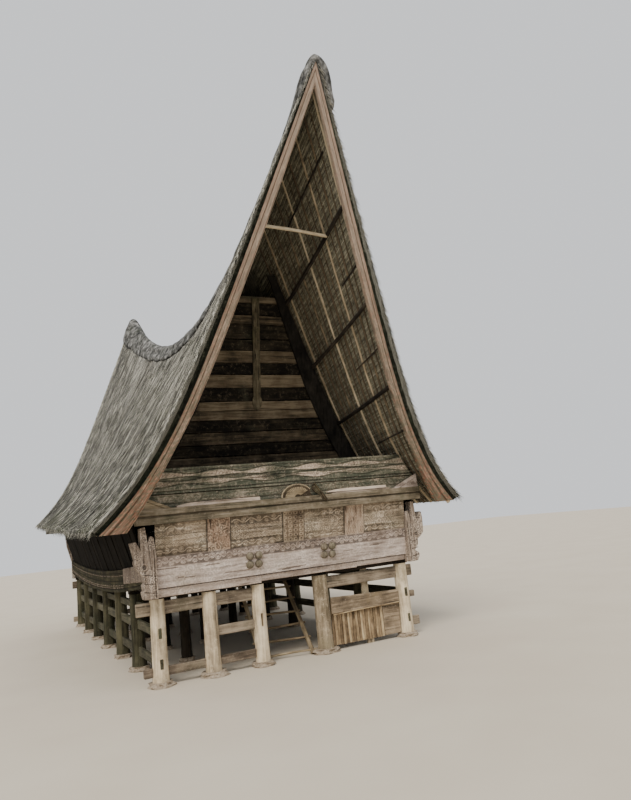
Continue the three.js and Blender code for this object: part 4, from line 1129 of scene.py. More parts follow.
# The side beams are grey wood, painted very dark besides as the shade along the house's flank
strake_wood_painted_shade = weathered_wood("grey_carved_side_beam_painted_shade", ("15140e", "2a281d", "403d2e", "5d5943"), "Y", 14,
                             "292b1e", (0.5, 0.68), CUTS, 0.5, shine=0.08)
for side, place in SIDES:
    def along_side(u, v, inward, side=side):
        y = STRAKE_START + u
        z = between((strake_low(y), strake_high(y)), v / STRAKE_TALL)
        return np.stack([side * (STRAKE_OUTER - inward), y, z], -1)
    length = HOUSE_LENGTH - 2 * STRAKE_START
    beam = carved_board(length, STRAKE_TALL, 0.026, along_side, strake_relief, 0.009, 0.09)
    if side < 0:
        block = board((-3.172, -0.19, 1.95), (-3.135, 1.92, 2.285), 5, 0.012, 0.004, 0.3)
        places = points_of(block.data)
        places[:, 2] += 0.06 - 0.055 * np.clip(places[:, 1], 0, 2)
        set_points(block.data, places)
        note(block.data, "relief", 0.85)
        stand("left_beam_end_block", [block], head_wood, "grey_plank")
    stand(f"{place}_carved_side_beam", [beam], strake_wood_painted_shade, "grey_plank", f"{place}_side_beam")
    bpy.ops.mesh.primitive_ico_sphere_add(subdivisions=1, radius=STUD)
    stud = bpy.context.object
    shape = points_of(stud.data)
    sides = np.array([face.vertices[:] for face in stud.data.polygons])
    bpy.data.objects.remove(stud)
    y = np.arange(ROW_SPACING, HOUSE_LENGTH + 0.1, STUD_PITCH)
    rows = [np.stack([np.full_like(y, side * (STRAKE_OUTER - 0.002)), y + 0.04 * (i % 2),
                      between((strake_low(y), strake_high(y)), share)], -1)
            for i, share in enumerate(STUD_ROWS)]
    seats = np.concatenate(rows)
    faces = sides + np.arange(len(seats))[:, None, None] * len(shape)
    studs = mesh_of("studs", seats[:, None] + shape, faces.reshape(-1, 3).tolist())
    note(studs.data, "tone", 0.1)
    note(studs.data, "relief", 1.0)
    stand(f"{place}_beam_studs", [studs], head_wood, "grey_plank")

# Sheltered wall boards are dark brown, painted almost black as the shade under the eave
wall_wood_painted_shade = weathered_wood("sheltered_upright_board_painted_shade", ("070605", "0f0d0b", "191612", "25211c"), "Z", 16,
                           "1d1b16", (0.56, 0.72), None, 0.5, shine=0.03)
WALL_INNER, WALL_OUTER, WALL_CLEAR, WALL_BOARD = 3.06, 3.10, 3.11, 0.42
LEAN_OUT = 0.3
for side, place in SIDES:
    boards = []
    count = int((HOUSE_LENGTH - 2 * STRAKE_START) / WALL_BOARD)
    for i in range(count):
        y0 = STRAKE_START + 0.004 + i * WALL_BOARD
        low = float(strake_high(y0 + WALL_BOARD / 2)) + 0.0003
        heights = np.linspace(low + 0.4, 4.0, 60)
        clear = roof_half(y0 + WALL_BOARD / 2, heights,
                          UNDER_ROOF) > WALL_CLEAR + LEAN_OUT * (heights - low)
        top = heights[clear].max() if clear.any() else low + 0.4
        proud = 0.006 * math.sin(i * 2.4)
        plank = board((WALL_INNER, y0, low), (WALL_OUTER, y0 + WALL_BOARD - 0.008, top), i + 3, 0.004,
                      0.002, 0.4)
        places = points_of(plank.data)
        places[:, 0] = side * (places[:, 0] + proud + LEAN_OUT * (places[:, 2] - low))
        set_points(plank.data, places)
        if side < 0:
            edit_whole(plank, bpy.ops.mesh.flip_normals)
        boards.append(plank)
    stand(f"{place}_wall_boards", boards, wall_wood_painted_shade, "dark_plank", f"{place}_side_wall")


# Gable walls: level planks of unlike thickness, set back under the roof, a pendant plank down the
# middle of the front one and broad boards where the wall meets the roof, painted near black as the
# deep shade there.

GABLE_LOW, GABLE_Y, GABLE_LEAN = 3.4403, 1.43, 0.205
COURSE_TOPS = [3.70, 3.99, 4.27, 4.55, 4.83, 5.11, 5.394, 5.608, 5.815, 6.146, 6.447, 6.732, 7.013, 7.286,
               7.638, 7.853, 8.146, 8.30]
BEAM_COURSE = 8
# Plank tones: the planks below 0 are set back and darker, their own tone and painted shade of the recess
COURSE_TONES_AND_SHADE = [-0.5, 0.5, -0.7, 0.2, -0.7, 0.3, -0.6, 0.9, 1.1, -0.8, 1.1, -0.9, 0.9, -0.6, -0.3, 0.3,
                -0.9, 0.8]


def gable_y(z):
    """Where the face of the front gable wall lies at height z."""
    return GABLE_Y - GABLE_LEAN * (z - GABLE_LOW)


gable_wood = weathered_wood("sheltered_gable_plank", ("15120e", "352f25", "5c5141", "857863"), "X", 14,
                            "4a4a3c", (0.54, 0.7), None, 0.45)
# Edge boards: near black, painted shade of the deep corner between wall and roof
edge_board_painted_shade = weathered_wood("edge_board_painted_deep_shade", ("0a0908", "161412", "25221e", "38342e"), "Z", 14)
for turned, end in ((False, "front"), (True, "rear")):
    planks = []
    for i, (low, high, tone_and_shade) in enumerate(zip([GABLE_LOW, *COURSE_TOPS], COURSE_TOPS, COURSE_TONES_AND_SHADE)):
        forward = tone_and_shade > 0
        proud = 0.06 if i == BEAM_COURSE else 0.03 * forward
        plank = board((-1, -proud, low + (0.0 if forward else 0.016)), (1, 0.045, high - 0.010), i, 0.003,
                      0.0, 0.04, tone_and_shade)
        places = points_of(plank.data)
        u, v = places[:, 0] * 3, places[:, 2]
        places[:, 2] += 0.010 * rumple(u * 0.8, v * 3, 9.0 + i)
        y = gable_y(places[:, 2]) + places[:, 1] + 0.004 * rumple(u * 1.2, v * 2, i * 1.3)
        y = HOUSE_LENGTH - y if turned else y
        half = roof_half(y, places[:, 2], 0.085)
        places[:, 0] *= np.where(turned, -1, 1) * half
        places[:, 1] = y
        set_points(plank.data, places)
        planks.append(plank)
    stand(f"{end}_gable_planks", planks, gable_wood, "dark_plank", f"{end}_gable_wall")
    edges = []
    for side in (-1, 1):
        def down_slope(u, v, inward, side=side, turned=turned):
            z = 4.2 + v
            y = gable_y(z) - 0.085 + inward
            y = HOUSE_LENGTH - y if turned else y
            half = roof_half(y, z, 0.09) - u * between((0.47, 0.2), np.clip((z - 6) / 2.6, 0, 1))
            return np.stack([side * np.maximum(half, 0.02), y, z], -1)
        edge = carved_board(1.0, 4.6, 0.08, down_slope, lambda u, v: 1 - 0.3 * ray(u - 0.92, 0.04), 0.01,
                            0.035, False)
        edges.append(edge)
    stand(f"{end}_gable_edge_boards", edges, edge_board_painted_shade, "dark_plank")

PENDANT_EDGE = [(-0.095, 8.24), (-0.09, 7.1), (-0.098, 5.98), (-0.085, 5.93), (-0.118, 5.86),
                (-0.124, 5.78), (-0.108, 5.69), (-0.07, 5.63)]
pendant = PENDANT_EDGE + [(0.0, 5.59)] + [(-x, z) for x, z in reversed(PENDANT_EDGE)]
plank = sawn(pendant, -0.075, -0.0343, 7, 0.005)
ridge_line = pole([(0, -0.075, 5.75), (0, -0.075, 8.2)], 0.016, 0.012, 3, 0.0, 8, 6)
note(ridge_line.data, "relief", 1.0)
for part in (plank, ridge_line):
    places = points_of(part.data)
    places[:, 1] += gable_y(places[:, 2])
    set_points(part.data, places)
olive_wood = weathered_wood("olive_centre_plank", ("24211a", "464032", "645c4a", "857c66"), "Z", 15,
                            "5a5a40", (0.5, 0.66), None, 0.5)
stand("gable_pendant_plank", [plank, ridge_line], olive_wood, "grey_plank", "gable_centre_plank")


# Roof frame: bamboo rafters down each slope, lashed over three dark purlins, and close laths along
# the roof that the fibre is tied to. All is seen from below, under the leaning gable.

RAFTER, PURLIN = 0.056, 0.09


def on_roof(surface_at, side, s, t):
    """Places on one slope of the thatch's skin or bed."""
    half, z = surface_at(s, t)
    return np.stack([side * half, station_y(s, z), z], -1)


def outward(surface_at, side, s, t):
    """The way square to the slope, out of the roof."""
    step = 0.002
    across = on_roof(surface_at, side, s + step, t) - on_roof(surface_at, side, s - step, t)
    upward = on_roof(surface_at, side, s, t + step) - on_roof(surface_at, side, s, t - step)
    way = np.cross(across, upward)
    way *= np.sign(way[..., :1] * side)
    return way / np.linalg.norm(way, axis=-1, keepdims=True)


def below_bed(side, s, t, depth):
    """Places under the thatch, where its frame hangs."""
    s, t = np.broadcast_arrays(np.asarray(s, float), np.asarray(t, float))
    return on_roof(bed, side, s, t) - depth * outward(bed, side, s, t)


# Old bamboo: tan skin gone golden brown in the shelter, dark at the nodes and in the splits
tan_bamboo = peeled_pole("smoked_tan_bamboo", ("5a4f40", "9f8f76", "cbbb9e", "e6dabf"), 34, "776850",
                         (0.52, 0.7))
purlin_wood = peeled_pole("soot_black_purlin", ("12100e", "26221e", "3b352e", "544c42"), 24)
lath_bamboo, tree, surface = new_material("split_bamboo_lath")
spot = node(tree, "TexCoord").outputs["Object"]
laid = node(tree, "Mapping", {"Vector": spot, "Scale": (14, 2.5, 14)})
split = node(tree, "TexNoise", {"Vector": laid, "Scale": 1.0, "Detail": 6, "Roughness": 0.65})
tone = node(tree, "Attribute", attribute_name="tone").outputs["Fac"]
level_of = node(tree, "Math", {0: tone, 1: 0.3, 2: split}, operation="MULTIPLY_ADD")
tint = node(tree, "ValToRGB", {"Fac": level_of}, [(0.4, "3f3d33"), (0.55, "7f7b69"), (0.72, "b4af98"),
                                                  (0.9, "d8d3be")])
edge = node(tree, "Bump", {"Height": split, "Strength": 0.4, "Distance": 0.004})
fill(tree, surface, {"Base Color": tint, "Normal": edge, "Roughness": 0.85})

# Rafters stand close under the front gable, wide apart over the house; thin canes lie between them
FIRST_RAFTER, CLOSE_PITCH = 0.014, 0.0225
STATIONS = [FIRST_RAFTER + CLOSE_PITCH * i for i in range(9)]
STATIONS += [0.305 + 0.13 * i for i in range(4)] + [0.806 + 0.06 * i for i in range(4)]
RAFTER_TONES = (0.9, -0.6, 0.4, -0.9, 0.8, -0.4, -0.9, 0.3, -0.7)
PURLIN_SHARES = (0.31, 0.51, 0.725)
STUBS = (((0.004, 0.05), 0.60), ((0.006, 0.075), 0.405), ((0.004, 0.09), 0.2), ((0.02, 0.12), 0.86))
LATH_PITCH = 0.058
for side, place in SIDES:
    shares = np.concatenate([np.linspace(0.004, 0.14, 5), np.linspace(0.2, 0.975, 9)])
    poles = []
    for i, s in enumerate(STATIONS):
        route = below_bed(side, s, shares, RAFTER / 2 + 0.0015)
        thick, thin = RAFTER / 2 * 1.05, RAFTER / 2 * 0.85
        poles.append(pole(route, thick, thin, i + 3 * side, 0.0018, 10, 26, 0.42))
        note(poles[-1].data, "tone", RAFTER_TONES[i % 9] - 0.1)
    for i in range(8):
        s = FIRST_RAFTER + CLOSE_PITCH * (i + 0.5)
        top = 0.975 - 0.05 * (i % 3)
        poles.append(pole(below_bed(side, s, shares * top, 0.030), 0.014, 0.010, i + 41 * side, 0.002, 8,
                          22, 0.35))
        note(poles[-1].data, "tone", -0.9)
    if side > 0:
        poles.append(pole(below_bed(side, 0.0062, shares, 0.075), 0.046, 0.036, 77, 0.0015, 12, 26, 0.46))
    stand(f"{place}_bamboo_rafters", poles, tan_bamboo, "bamboo", f"{place}_roof_frame")
    along = np.linspace(0.0056, 0.994, 15)
    purlins = [pole(below_bed(side, along, t, RAFTER + PURLIN * 0.38), PURLIN / 2, PURLIN / 2, i + 5,
                    0.0006, 10, 30) for i, t in enumerate(PURLIN_SHARES)]
    stubs = [pole(below_bed(side, np.array(ends), t, RAFTER + 0.02), 0.022, 0.018, i + 15, 0.0, 8, 4)
             for i, (ends, t) in enumerate(STUBS)]
    stand(f"{place}_dark_purlins", purlins + stubs, purlin_wood, "bamboo", f"{place}_roof_frame")
    rows = np.arange(0.012, 0.985, LATH_PITCH / 9.6)
    places, tones, faces = [], [], []
    for end, (first, last) in enumerate(((0.0035, 0.235), (0.80, 0.9965))):
        s = np.linspace(first, last, 6)
        for k, t in enumerate(rows):
            wave = 0.0018 * np.sin(k * 2.3 + s * 40)
            line = below_bed(side, s, t + wave, 0.002)
            higher = below_bed(side, s, t + wave + 0.0014, 0.002)
            up = higher - line
            up /= np.linalg.norm(up, axis=1, keepdims=True)
            down = -outward(bed, side, s, np.full_like(s, t))
            low, high = line - up * 0.007 + down * 0.010, line + up * 0.007 + down * 0.010
            block = np.stack([line - up * 0.008, line + up * 0.008, high, low], 1)
            start = sum(len(item) for item in places) * 4
            places.append(block)
            # Each lath is painted a little darker, painted shade under the roof
            tones.append(np.full(len(s) * 4, tone_of(k) - 0.25))
            for j in range(len(s) - 1):
                a, b = start + 4 * j, start + 4 * j + 4
                faces += [[a + i, a + (i + 1) % 4, b + (i + 1) % 4, b + i] for i in range(4)]
            faces += [[start + 3, start + 2, start + 1, start],
                      [start + 4 * len(s) - 4 + i for i in range(4)]]
    laths = mesh_of("laths", np.concatenate(places), faces)
    note(laths.data, "tone", np.concatenate(tones))
    edit_whole(laths, bpy.ops.mesh.normals_make_consistent, inside=False)
    stand(f"{place}_roof_laths", [laths], lath_bamboo, "bamboo")

bar = pole([(-0.8, -2.016, 8.925), (0, -2.016, 8.90), (0.8, -2.016, 8.835)], 0.0375, 0.034, 3, 0.004, 12,
           12, 0.5)
stand("verge_tie_pole", [bar], tan_bamboo, "bamboo", "verge_tie_bar")


# Thatch: a thick coat of black palm fibre, combed down both slopes and gone grey outside. Each
# slope is one closed coat from eave to ridge. Its cut end at the verge is black low down and lighter
# grey higher up, damp and green in patches, with a pale fringe along its outer edge, partly painted
# highlight.

SKIN_HALF = (4.17, 4.26)


def skin(s, t):
    """Half width and height of the thatch at station s, height share t."""
    half = between(SKIN_HALF, s) * (0.832 * (1 - t) + 0.168 * np.clip(1 - t, 0, 1) ** 8.8)
    return half, between((eave_z(s), ridge_z(s)), t)


# Weathered palm fibre is dull grey, combed into long streaks, with pale broken ends here and there
fibre_coat, tree, surface = new_material("weathered_combed_palm_fibre")
track = node(tree, "UVMap", uv_map="slope")
spot = node(tree, "TexCoord").outputs["Object"]
combed = node(tree, "Mapping", {"Vector": track, "Scale": (46, 0.8, 1)})
streak = node(tree, "TexNoise", {"Vector": combed, "Scale": 1.0, "Detail": 7, "Roughness": 0.65,
                                 "Distortion": 0.08})
fine = node(tree, "Mapping", {"Vector": track, "Scale": (150, 2.5, 1)})
hair = node(tree, "TexNoise", {"Vector": fine, "Scale": 1.0, "Detail": 5, "Roughness": 0.7})
aged = node(tree, "TexNoise", {"Vector": spot, "Scale": 0.7, "Detail": 6, "Roughness": 0.6})
tone = node(tree, "Attribute", attribute_name="tone").outputs["Fac"]
both = node(tree, "Math", {0: hair, 1: 0.95, 2: tone}, operation="MULTIPLY_ADD")
level_of = node(tree, "Math", {0: streak, 1: 0.65, 2: both}, operation="MULTIPLY_ADD")
grey = node(tree, "ValToRGB", {"Fac": level_of}, [(0.60, "100f0d"), (0.74, "2f2f2c"), (0.86, "565550"),
                                                  (0.95, "82807a"), (1.0, "c9c6b8")])
where = node(tree, "MapRange", {"Value": aged, "From Min": 0.5, "From Max": 0.72, "To Max": 0.25})
greyed = node(tree, "Mix", {0: where, 6: grey, 7: linear("4c453e")}, data_type="RGBA")
moss = node(tree, "Attribute", attribute_name="moss").outputs["Fac"]
mossy = node(tree, "Mix", {0: moss, 6: greyed, 7: linear("4c5330")}, data_type="RGBA")
combing = node(tree, "Math", {0: hair, 1: 0.9, 2: streak}, operation="MULTIPLY_ADD")
ridges = node(tree, "Bump", {"Height": combing, "Strength": 0.9, "Distance": 0.025})
fill(tree, surface, {"Base Color": mossy, "Normal": ridges, "Roughness": 0.95})

# The cut end of the coat: black fibre ends, damp and green with moss in patches, lighter grey higher up
cut_fibre, tree, surface = new_material("mossy_cut_palm_fibre")
spot = node(tree, "TexCoord").outputs["Object"]
ends = node(tree, "TexNoise", {"Vector": spot, "Scale": 11.0, "Detail": 9, "Roughness": 0.8})
damp = node(tree, "TexNoise", {"Vector": spot, "Scale": 2.0, "Detail": 4})
height = node(tree, "SeparateXYZ", {0: spot}).outputs["Z"]
lighter_higher_up = node(tree, "MapRange", {"Value": height, "From Min": 6.5, "From Max": 10.5, "To Max": 0.13})
level_of = node(tree, "Math", {0: ends, 1: lighter_higher_up}, operation="ADD")
black = node(tree, "ValToRGB", {"Fac": level_of}, [(0.38, "0d0e0a"), (0.53, "26281f"), (0.67, "55574a"),
                                                   (0.82, "92937f")])
green = node(tree, "MapRange", {"Value": damp, "From Min": 0.45, "From Max": 0.7, "To Max": 0.35})
damp_black = node(tree, "Mix", {0: green, 6: black, 7: linear("1f2a1a")}, data_type="RGBA")
stubble = node(tree, "Bump", {"Height": ends, "Strength": 1.0, "Distance": 0.03})
fill(tree, surface, {"Base Color": damp_black, "Normal": stubble, "Roughness": 0.97})

# From below, the fibre is brown and smoke-dark, pressed on close battens
fibre_underside, tree, surface = new_material("smoky_palm_fibre_underside")
track = node(tree, "UVMap", uv_map="slope")
pressed = node(tree, "Mapping", {"Vector": track, "Scale": (30, 4, 1)})
strands = node(tree, "TexNoise", {"Vector": pressed, "Scale": 1.0, "Detail": 8, "Roughness": 0.7})
smoky = node(tree, "ValToRGB", {"Fac": strands}, [(0.3, "373630"), (0.5, "7c796c"), (0.72, "bbb7a5")])
pressing = node(tree, "Bump", {"Height": strands, "Strength": 0.8, "Distance": 0.02})
fill(tree, surface, {"Base Color": smoky, "Normal": pressing, "Roughness": 0.97})

ACROSS, UP = 260, 76
LENGTH, SLOPE = 15.0, 8.6
CUT_SHARES = (0.03, 0.16, 0.3, 0.44, 0.66, 0.9)
CUT_BULGE = (0.02, 0.03, 0.02, -0.01, -0.04, -0.05)
PALE_BELTS = 4
SKIN_LOOK, CUT_LOOK, BED_LOOK = 0, 1, 2


def coat_height(s, t, seed):
    """How far the combed coat stands above its smooth shape: locks and hollows along the slope."""
    u, v = s * LENGTH, t * SLOPE
    locks = rumple(u * 9.5, v * 0.35, seed) * 0.012
    rolls = rumple(u * 1.4, v * 0.6, seed + 40) * 0.009
    ragged = rumple(u * 19, v * 0.8, seed + 80) * 0.011
    return locks + rolls + ragged


def quads(a, b, c, d):
    """Four-cornered faces from four grids of vertex numbers."""
    return np.stack([a, b, c, d], -1).reshape(-1, 4)


def shell_faces(number, under):
    """Faces of an upper and a lower sheet, and of the two long edges between them."""
    return [quads(number[:-1, :-1], number[1:, :-1], number[1:, 1:], number[:-1, 1:]),
            quads(under[:-1, :-1], under[:-1, 1:], under[1:, 1:], under[1:, :-1]),
            quads(number[1:, 0], number[:-1, 0], under[:-1, 0], under[1:, 0]),
            quads(number[:-1, -1], number[1:, -1], under[1:, -1], under[:-1, -1])]


def thatch_slope(name, side, seed):
    """One slope of the coat: combed skin, smooth bed, and cut ends that bulge in the middle."""
    s = np.linspace(0, 1, ACROSS + 1) ** 1.15
    t = np.linspace(0, 1, UP + 1)
    s, t = np.meshgrid(s, t, indexing="ij")
    lift = coat_height(s, t, seed) * np.clip((1 - t) * 9, 0, 1)
    out = outward(skin, side, s, np.clip(t, 0.01, 0.99))
    outside = on_roof(skin, side, s, t) + out * lift[..., None]
    frayed = np.clip(1 - t * 60, 0, 1) * rumple(s * LENGTH * 9, t, seed + 9) * 0.05
    outside[..., 2] += frayed
    outside[..., 0] -= side * frayed * 0.5
    inside = on_roof(bed, side, s, t)
    outside[:, -1, 0] = np.maximum(np.abs(outside[:, -1, 0]), 0.0002) * side
    inside[:, -1, 0] = 0.0002 * side
    cut_ends = []
    for end, away in ((0, -1), (-1, 1)):
        rows_in = [outside[end] * (1 - share) + inside[end] * share for share in CUT_SHARES]
        for share, row, lift in zip(CUT_SHARES, rows_in, CUT_BULGE):
            tufts = rumple(t[end] * SLOPE * 11, t[end] * 0 + share * 9, seed + end) * 0.055
            row[:, 1] += away * (lift + tufts) * np.clip((1 - t[end]) * 12, 0, 1)
        cut_ends.append(np.stack(rows_in))
    columns, rows = s.shape
    number = np.arange(columns * rows).reshape(columns, rows)
    under = number + columns * rows
    groups = shell_faces(number, under)
    looks = [SKIN_LOOK, BED_LOOK, CUT_LOOK, SKIN_LOOK]
    for k, end in enumerate((0, -1)):
        layer = k * len(CUT_SHARES) + np.arange(len(CUT_SHARES))[:, None]
        middle = 2 * columns * rows + layer * rows + np.arange(rows)
        belt = np.concatenate([number[end][None], middle, under[end][None]])
        band = quads(belt[:-1, :-1], belt[:-1, 1:], belt[1:, 1:], belt[1:, :-1])
        if end:
            band = quads(belt[:-1, 1:], belt[:-1, :-1], belt[1:, :-1], belt[1:, 1:])
        pale = PALE_BELTS * (rows - 1)
        groups += [band[:pale], band[pale:]]
        looks += [SKIN_LOOK, CUT_LOOK]
    faces = np.concatenate(groups)
    if side < 0:
        faces = faces[:, ::-1]
    tracks = np.stack([s * LENGTH, t * SLOPE], -1)
    end_tracks = [np.stack([np.full(rows, 4.0 * share), t[0] * SLOPE], -1) for share in CUT_SHARES] * 2
    points = np.concatenate([sheet.reshape(-1, 3) for sheet in (outside, inside, *cut_ends)])
    piece = mesh_of(name, points, faces.tolist(), np.concatenate([tracks.reshape(-1, 2)] * 2 + end_tracks))
    looks = np.repeat(looks, [len(group) for group in groups])
    tones = rumple(s * 9, t * 4, seed + 3) * 0.055 + rumple(s * 120, t * 3, seed + 5) * 0.11
    rest = np.zeros(len(piece.data.vertices) - s.size)
    rest[inside.size // 3:] = 0.11
    tones += 0.09 - 0.055 * np.clip(1 - t / 0.5, 0, 1)
    note(piece.data, "tone", np.concatenate([tones.ravel(), rest]))
    low_front = np.clip(1 - t * 9, 0, 1) * np.clip(rumple(s * 6, t * 5, seed + 11) + 0.35, 0, 1)
    note(piece.data, "moss", np.concatenate([low_front.ravel() * 0.8, rest]))
    piece = build(name, [piece], fibre_coat, cut_fibre, fibre_underside)
    piece.data.polygons.foreach_set("material_index", looks.astype(np.int32))
    bpy.ops.object.shade_smooth_by_angle(angle=math.radians(60))
    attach(piece, "root")
    return piece


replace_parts(thatch_slope("left_thatch_coat", -1, 2.0), "left_thatch")
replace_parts(thatch_slope("right_thatch_coat", 1, 5.0), "right_thatch")


# Loose straws: broken ends of fibre that lift from the coat, hang over the eave and bristle
# along the verge. Each is a long thin blade; they lie down the slope, a little askew.

def straws(name, side, s, t, length, width, lift, droop, tones, seed, forward_lean=0.0):
    """One blade for each s and t: a slim wedge from its root in the coat to its free tip."""
    chance = np.random.default_rng(seed)
    count = len(s)
    root = on_roof(skin, side, s, t)
    down = on_roof(skin, side, s, np.maximum(t - 0.004, -0.02)) - on_roof(skin, side, s, t)
    down /= np.linalg.norm(down, axis=-1, keepdims=True)
    out = outward(skin, side, s, np.clip(t, 0.01, 0.99))
    across = np.cross(down, out)
    askew = chance.normal(0, 0.035, (count, 1))
    way = down + across * askew
    way[:, 1] += forward_lean * chance.uniform(0.2, 1.0, count)
    way[:, 2] -= droop
    way /= np.linalg.norm(way, axis=-1, keepdims=True)
    root = root + out * chance.uniform(-0.01, 0.015, (count, 1))
    tip = root + way * length[:, None] + out * (lift * chance.uniform(-0.2, 1.0, count))[:, None]
    half = width[:, None] / 2
    places = np.stack([root - across * half, root + across * half, root + out * half, tip], 1)
    one = np.array([[0, 2, 1], [0, 1, 3], [1, 2, 3], [2, 0, 3]])
    faces = (one[None] + (np.arange(count) * 4)[:, None, None]).reshape(-1, 3)
    if side < 0:
        faces = faces[:, ::-1]
    tracks = np.repeat(np.stack([s * LENGTH, t * SLOPE], -1)[:, None], 4, 1)
    piece = mesh_of(name, places, faces.tolist(), tracks)
    note(piece.data, "tone", np.repeat(tones, 4))
    note(piece.data, "moss", np.repeat(np.clip(chance.normal(-0.2, 0.3, count), 0, 0.5), 4))
    stand(name, [piece], fibre_coat, "thatch")


COAT_STRAWS, EAVE_STRAWS, VERGE_STRAWS = 16000, 5500, 4000
for side, place in SIDES:
    chance = np.random.default_rng(30 + side)
    count = COAT_STRAWS
    s, t = chance.uniform(0.0, 1.0, count) ** 1.1, chance.uniform(0.015, 0.93, count)
    long = np.minimum(chance.uniform(0.25, 0.8, count), t * SLOPE + 0.05)
    wide, lift = chance.uniform(0.005, 0.017, count), chance.uniform(0.0, 0.03, count)
    tones = chance.normal(0.055, 0.11, count) - 0.05 * np.clip(1 - t / 0.5, 0, 1)
    straws(f"{place}_thatch_straws", side, s, t, long, wide, lift, 0.0, tones, 60 + side)
    count = EAVE_STRAWS
    s, t = chance.uniform(0.0, 1.0, count), chance.uniform(0.0, 0.018, count)
    straws(f"{place}_eave_fringe", side, s, t, chance.uniform(0.05, 0.2, count),
           chance.uniform(0.005, 0.014, count), chance.uniform(-0.04, 0.0, count), 1.1,
           chance.normal(0.0, 0.16, count), 70 + side)
    # Verge bristles are paler than the coat's straws: broken ends, with painted highlight of the lit rim
    for end, at, lean in (("front", 0.0, -0.85), ("rear", 1.0, 0.85)):
        count = VERGE_STRAWS
        s = at + (1 - 2 * at) * chance.uniform(0, 0.006, count)
        straws(f"{end}_{place}_verge_fringe", side, s, chance.uniform(0.0, 0.985, count),
               chance.uniform(0.08, 0.26, count), chance.uniform(0.008, 0.02, count),
               chance.uniform(-0.02, 0.06, count), 0.0, chance.normal(0.13, 0.24, count), 80 + side, lean)


# Barge boards: broad boards that follow the curve of each verge under the edge of the thatch. They
# are brown, finely mottled with lichen below and paler towards the top. A groove marks off the
# outer strip, a little redder, and the foot of each is cut level.

SEAT = 0.0026


def barge_width(z, apex):
    """Width of the board at height z, broad at its foot and narrow under the apex."""
    return 0.15 + 0.06 * np.minimum(1, (apex - z) / 3) + 0.29 * np.maximum(0, 1 - (z - 3) / 1.6) ** 2


barge_wood, tree, surface = new_material("red_brown_barge_board")
spot = node(tree, "Attribute", attribute_name="grain").outputs["Vector"]
outer = node(tree, "Attribute", attribute_name="outer").outputs["Fac"]
cut = node(tree, "Attribute", attribute_name="relief").outputs["Fac"]
laid = node(tree, "Mapping", {"Vector": spot, "Scale": (26, 26, 2.4)})
fibre = node(tree, "TexNoise", {"Vector": laid, "Scale": 1.0, "Detail": 9, "Roughness": 0.7,
                                "Distortion": 0.8})
patch = node(tree, "TexNoise", {"Vector": spot, "Scale": 2.2, "Detail": 8, "Roughness": 0.7})
flakes = node(tree, "TexNoise", {"Vector": spot, "Scale": 19.0, "Detail": 5, "Roughness": 0.7})
red = node(tree, "ValToRGB", {"Fac": fibre}, [(0.32, "3f2a20"), (0.46, "7d5645"), (0.58, "a27c66"),
                                              (0.74, "c5a48f")])
grey = node(tree, "ValToRGB", {"Fac": fibre}, [(0.32, "45392f"), (0.46, "7c6a5a"), (0.58, "9f8b7a"),
                                               (0.76, "c8b6a4")])
edge = node(tree, "Math", {0: patch, 1: 0.9, 2: outer}, operation="MULTIPLY_ADD")
reddened = node(tree, "MapRange", {"Value": edge, "From Min": 0.42, "From Max": 0.72})
base = node(tree, "Mix", {0: reddened, 6: grey, 7: red}, data_type="RGBA")
lichen_spread = node(tree, "Math", {0: patch, 1: 0.35, 2: flakes}, operation="MULTIPLY_ADD")
lichen = node(tree, "MapRange", {"Value": lichen_spread, "From Min": 0.64, "From Max": 0.72,
                                 "To Max": 0.85})
place_in_house = node(tree, "TexCoord").outputs["Object"]
height = node(tree, "SeparateXYZ", {0: place_in_house}).outputs["Z"]
sheltered = node(tree, "MapRange", {"Value": height, "From Min": 3.0, "From Max": 9.0, "To Min": 1.0,
                                    "To Max": 0.4})
spread = node(tree, "Math", {0: lichen, 1: sheltered}, operation="MULTIPLY")
with_lichen = node(tree, "Mix", {0: spread, 6: base, 7: linear("636453")}, data_type="RGBA")
groove = node(tree, "ValToRGB", {"Fac": cut}, [(0.0, "5b5049"), (0.6, "c4bbb2"), (1.0, "ffffff")])
# The board turns paler with height
paling_with_height = node(tree, "MapRange", {"Value": height, "From Min": 4.0, "From Max": 12.0, "To Max": 0.35})
bleached = node(tree, "Mix", {0: paling_with_height, 6: with_lichen, 7: linear("d6c5b6")}, data_type="RGBA")
shaded = node(tree, "Mix", {0: 0.9, 6: bleached, 7: groove}, data_type="RGBA", blend_type="MULTIPLY")
worn_face = node(tree, "Bump", {"Height": fibre, "Strength": 0.55, "Distance": 0.012})
fill(tree, surface, {"Base Color": shaded, "Normal": worn_face, "Roughness": 0.88})

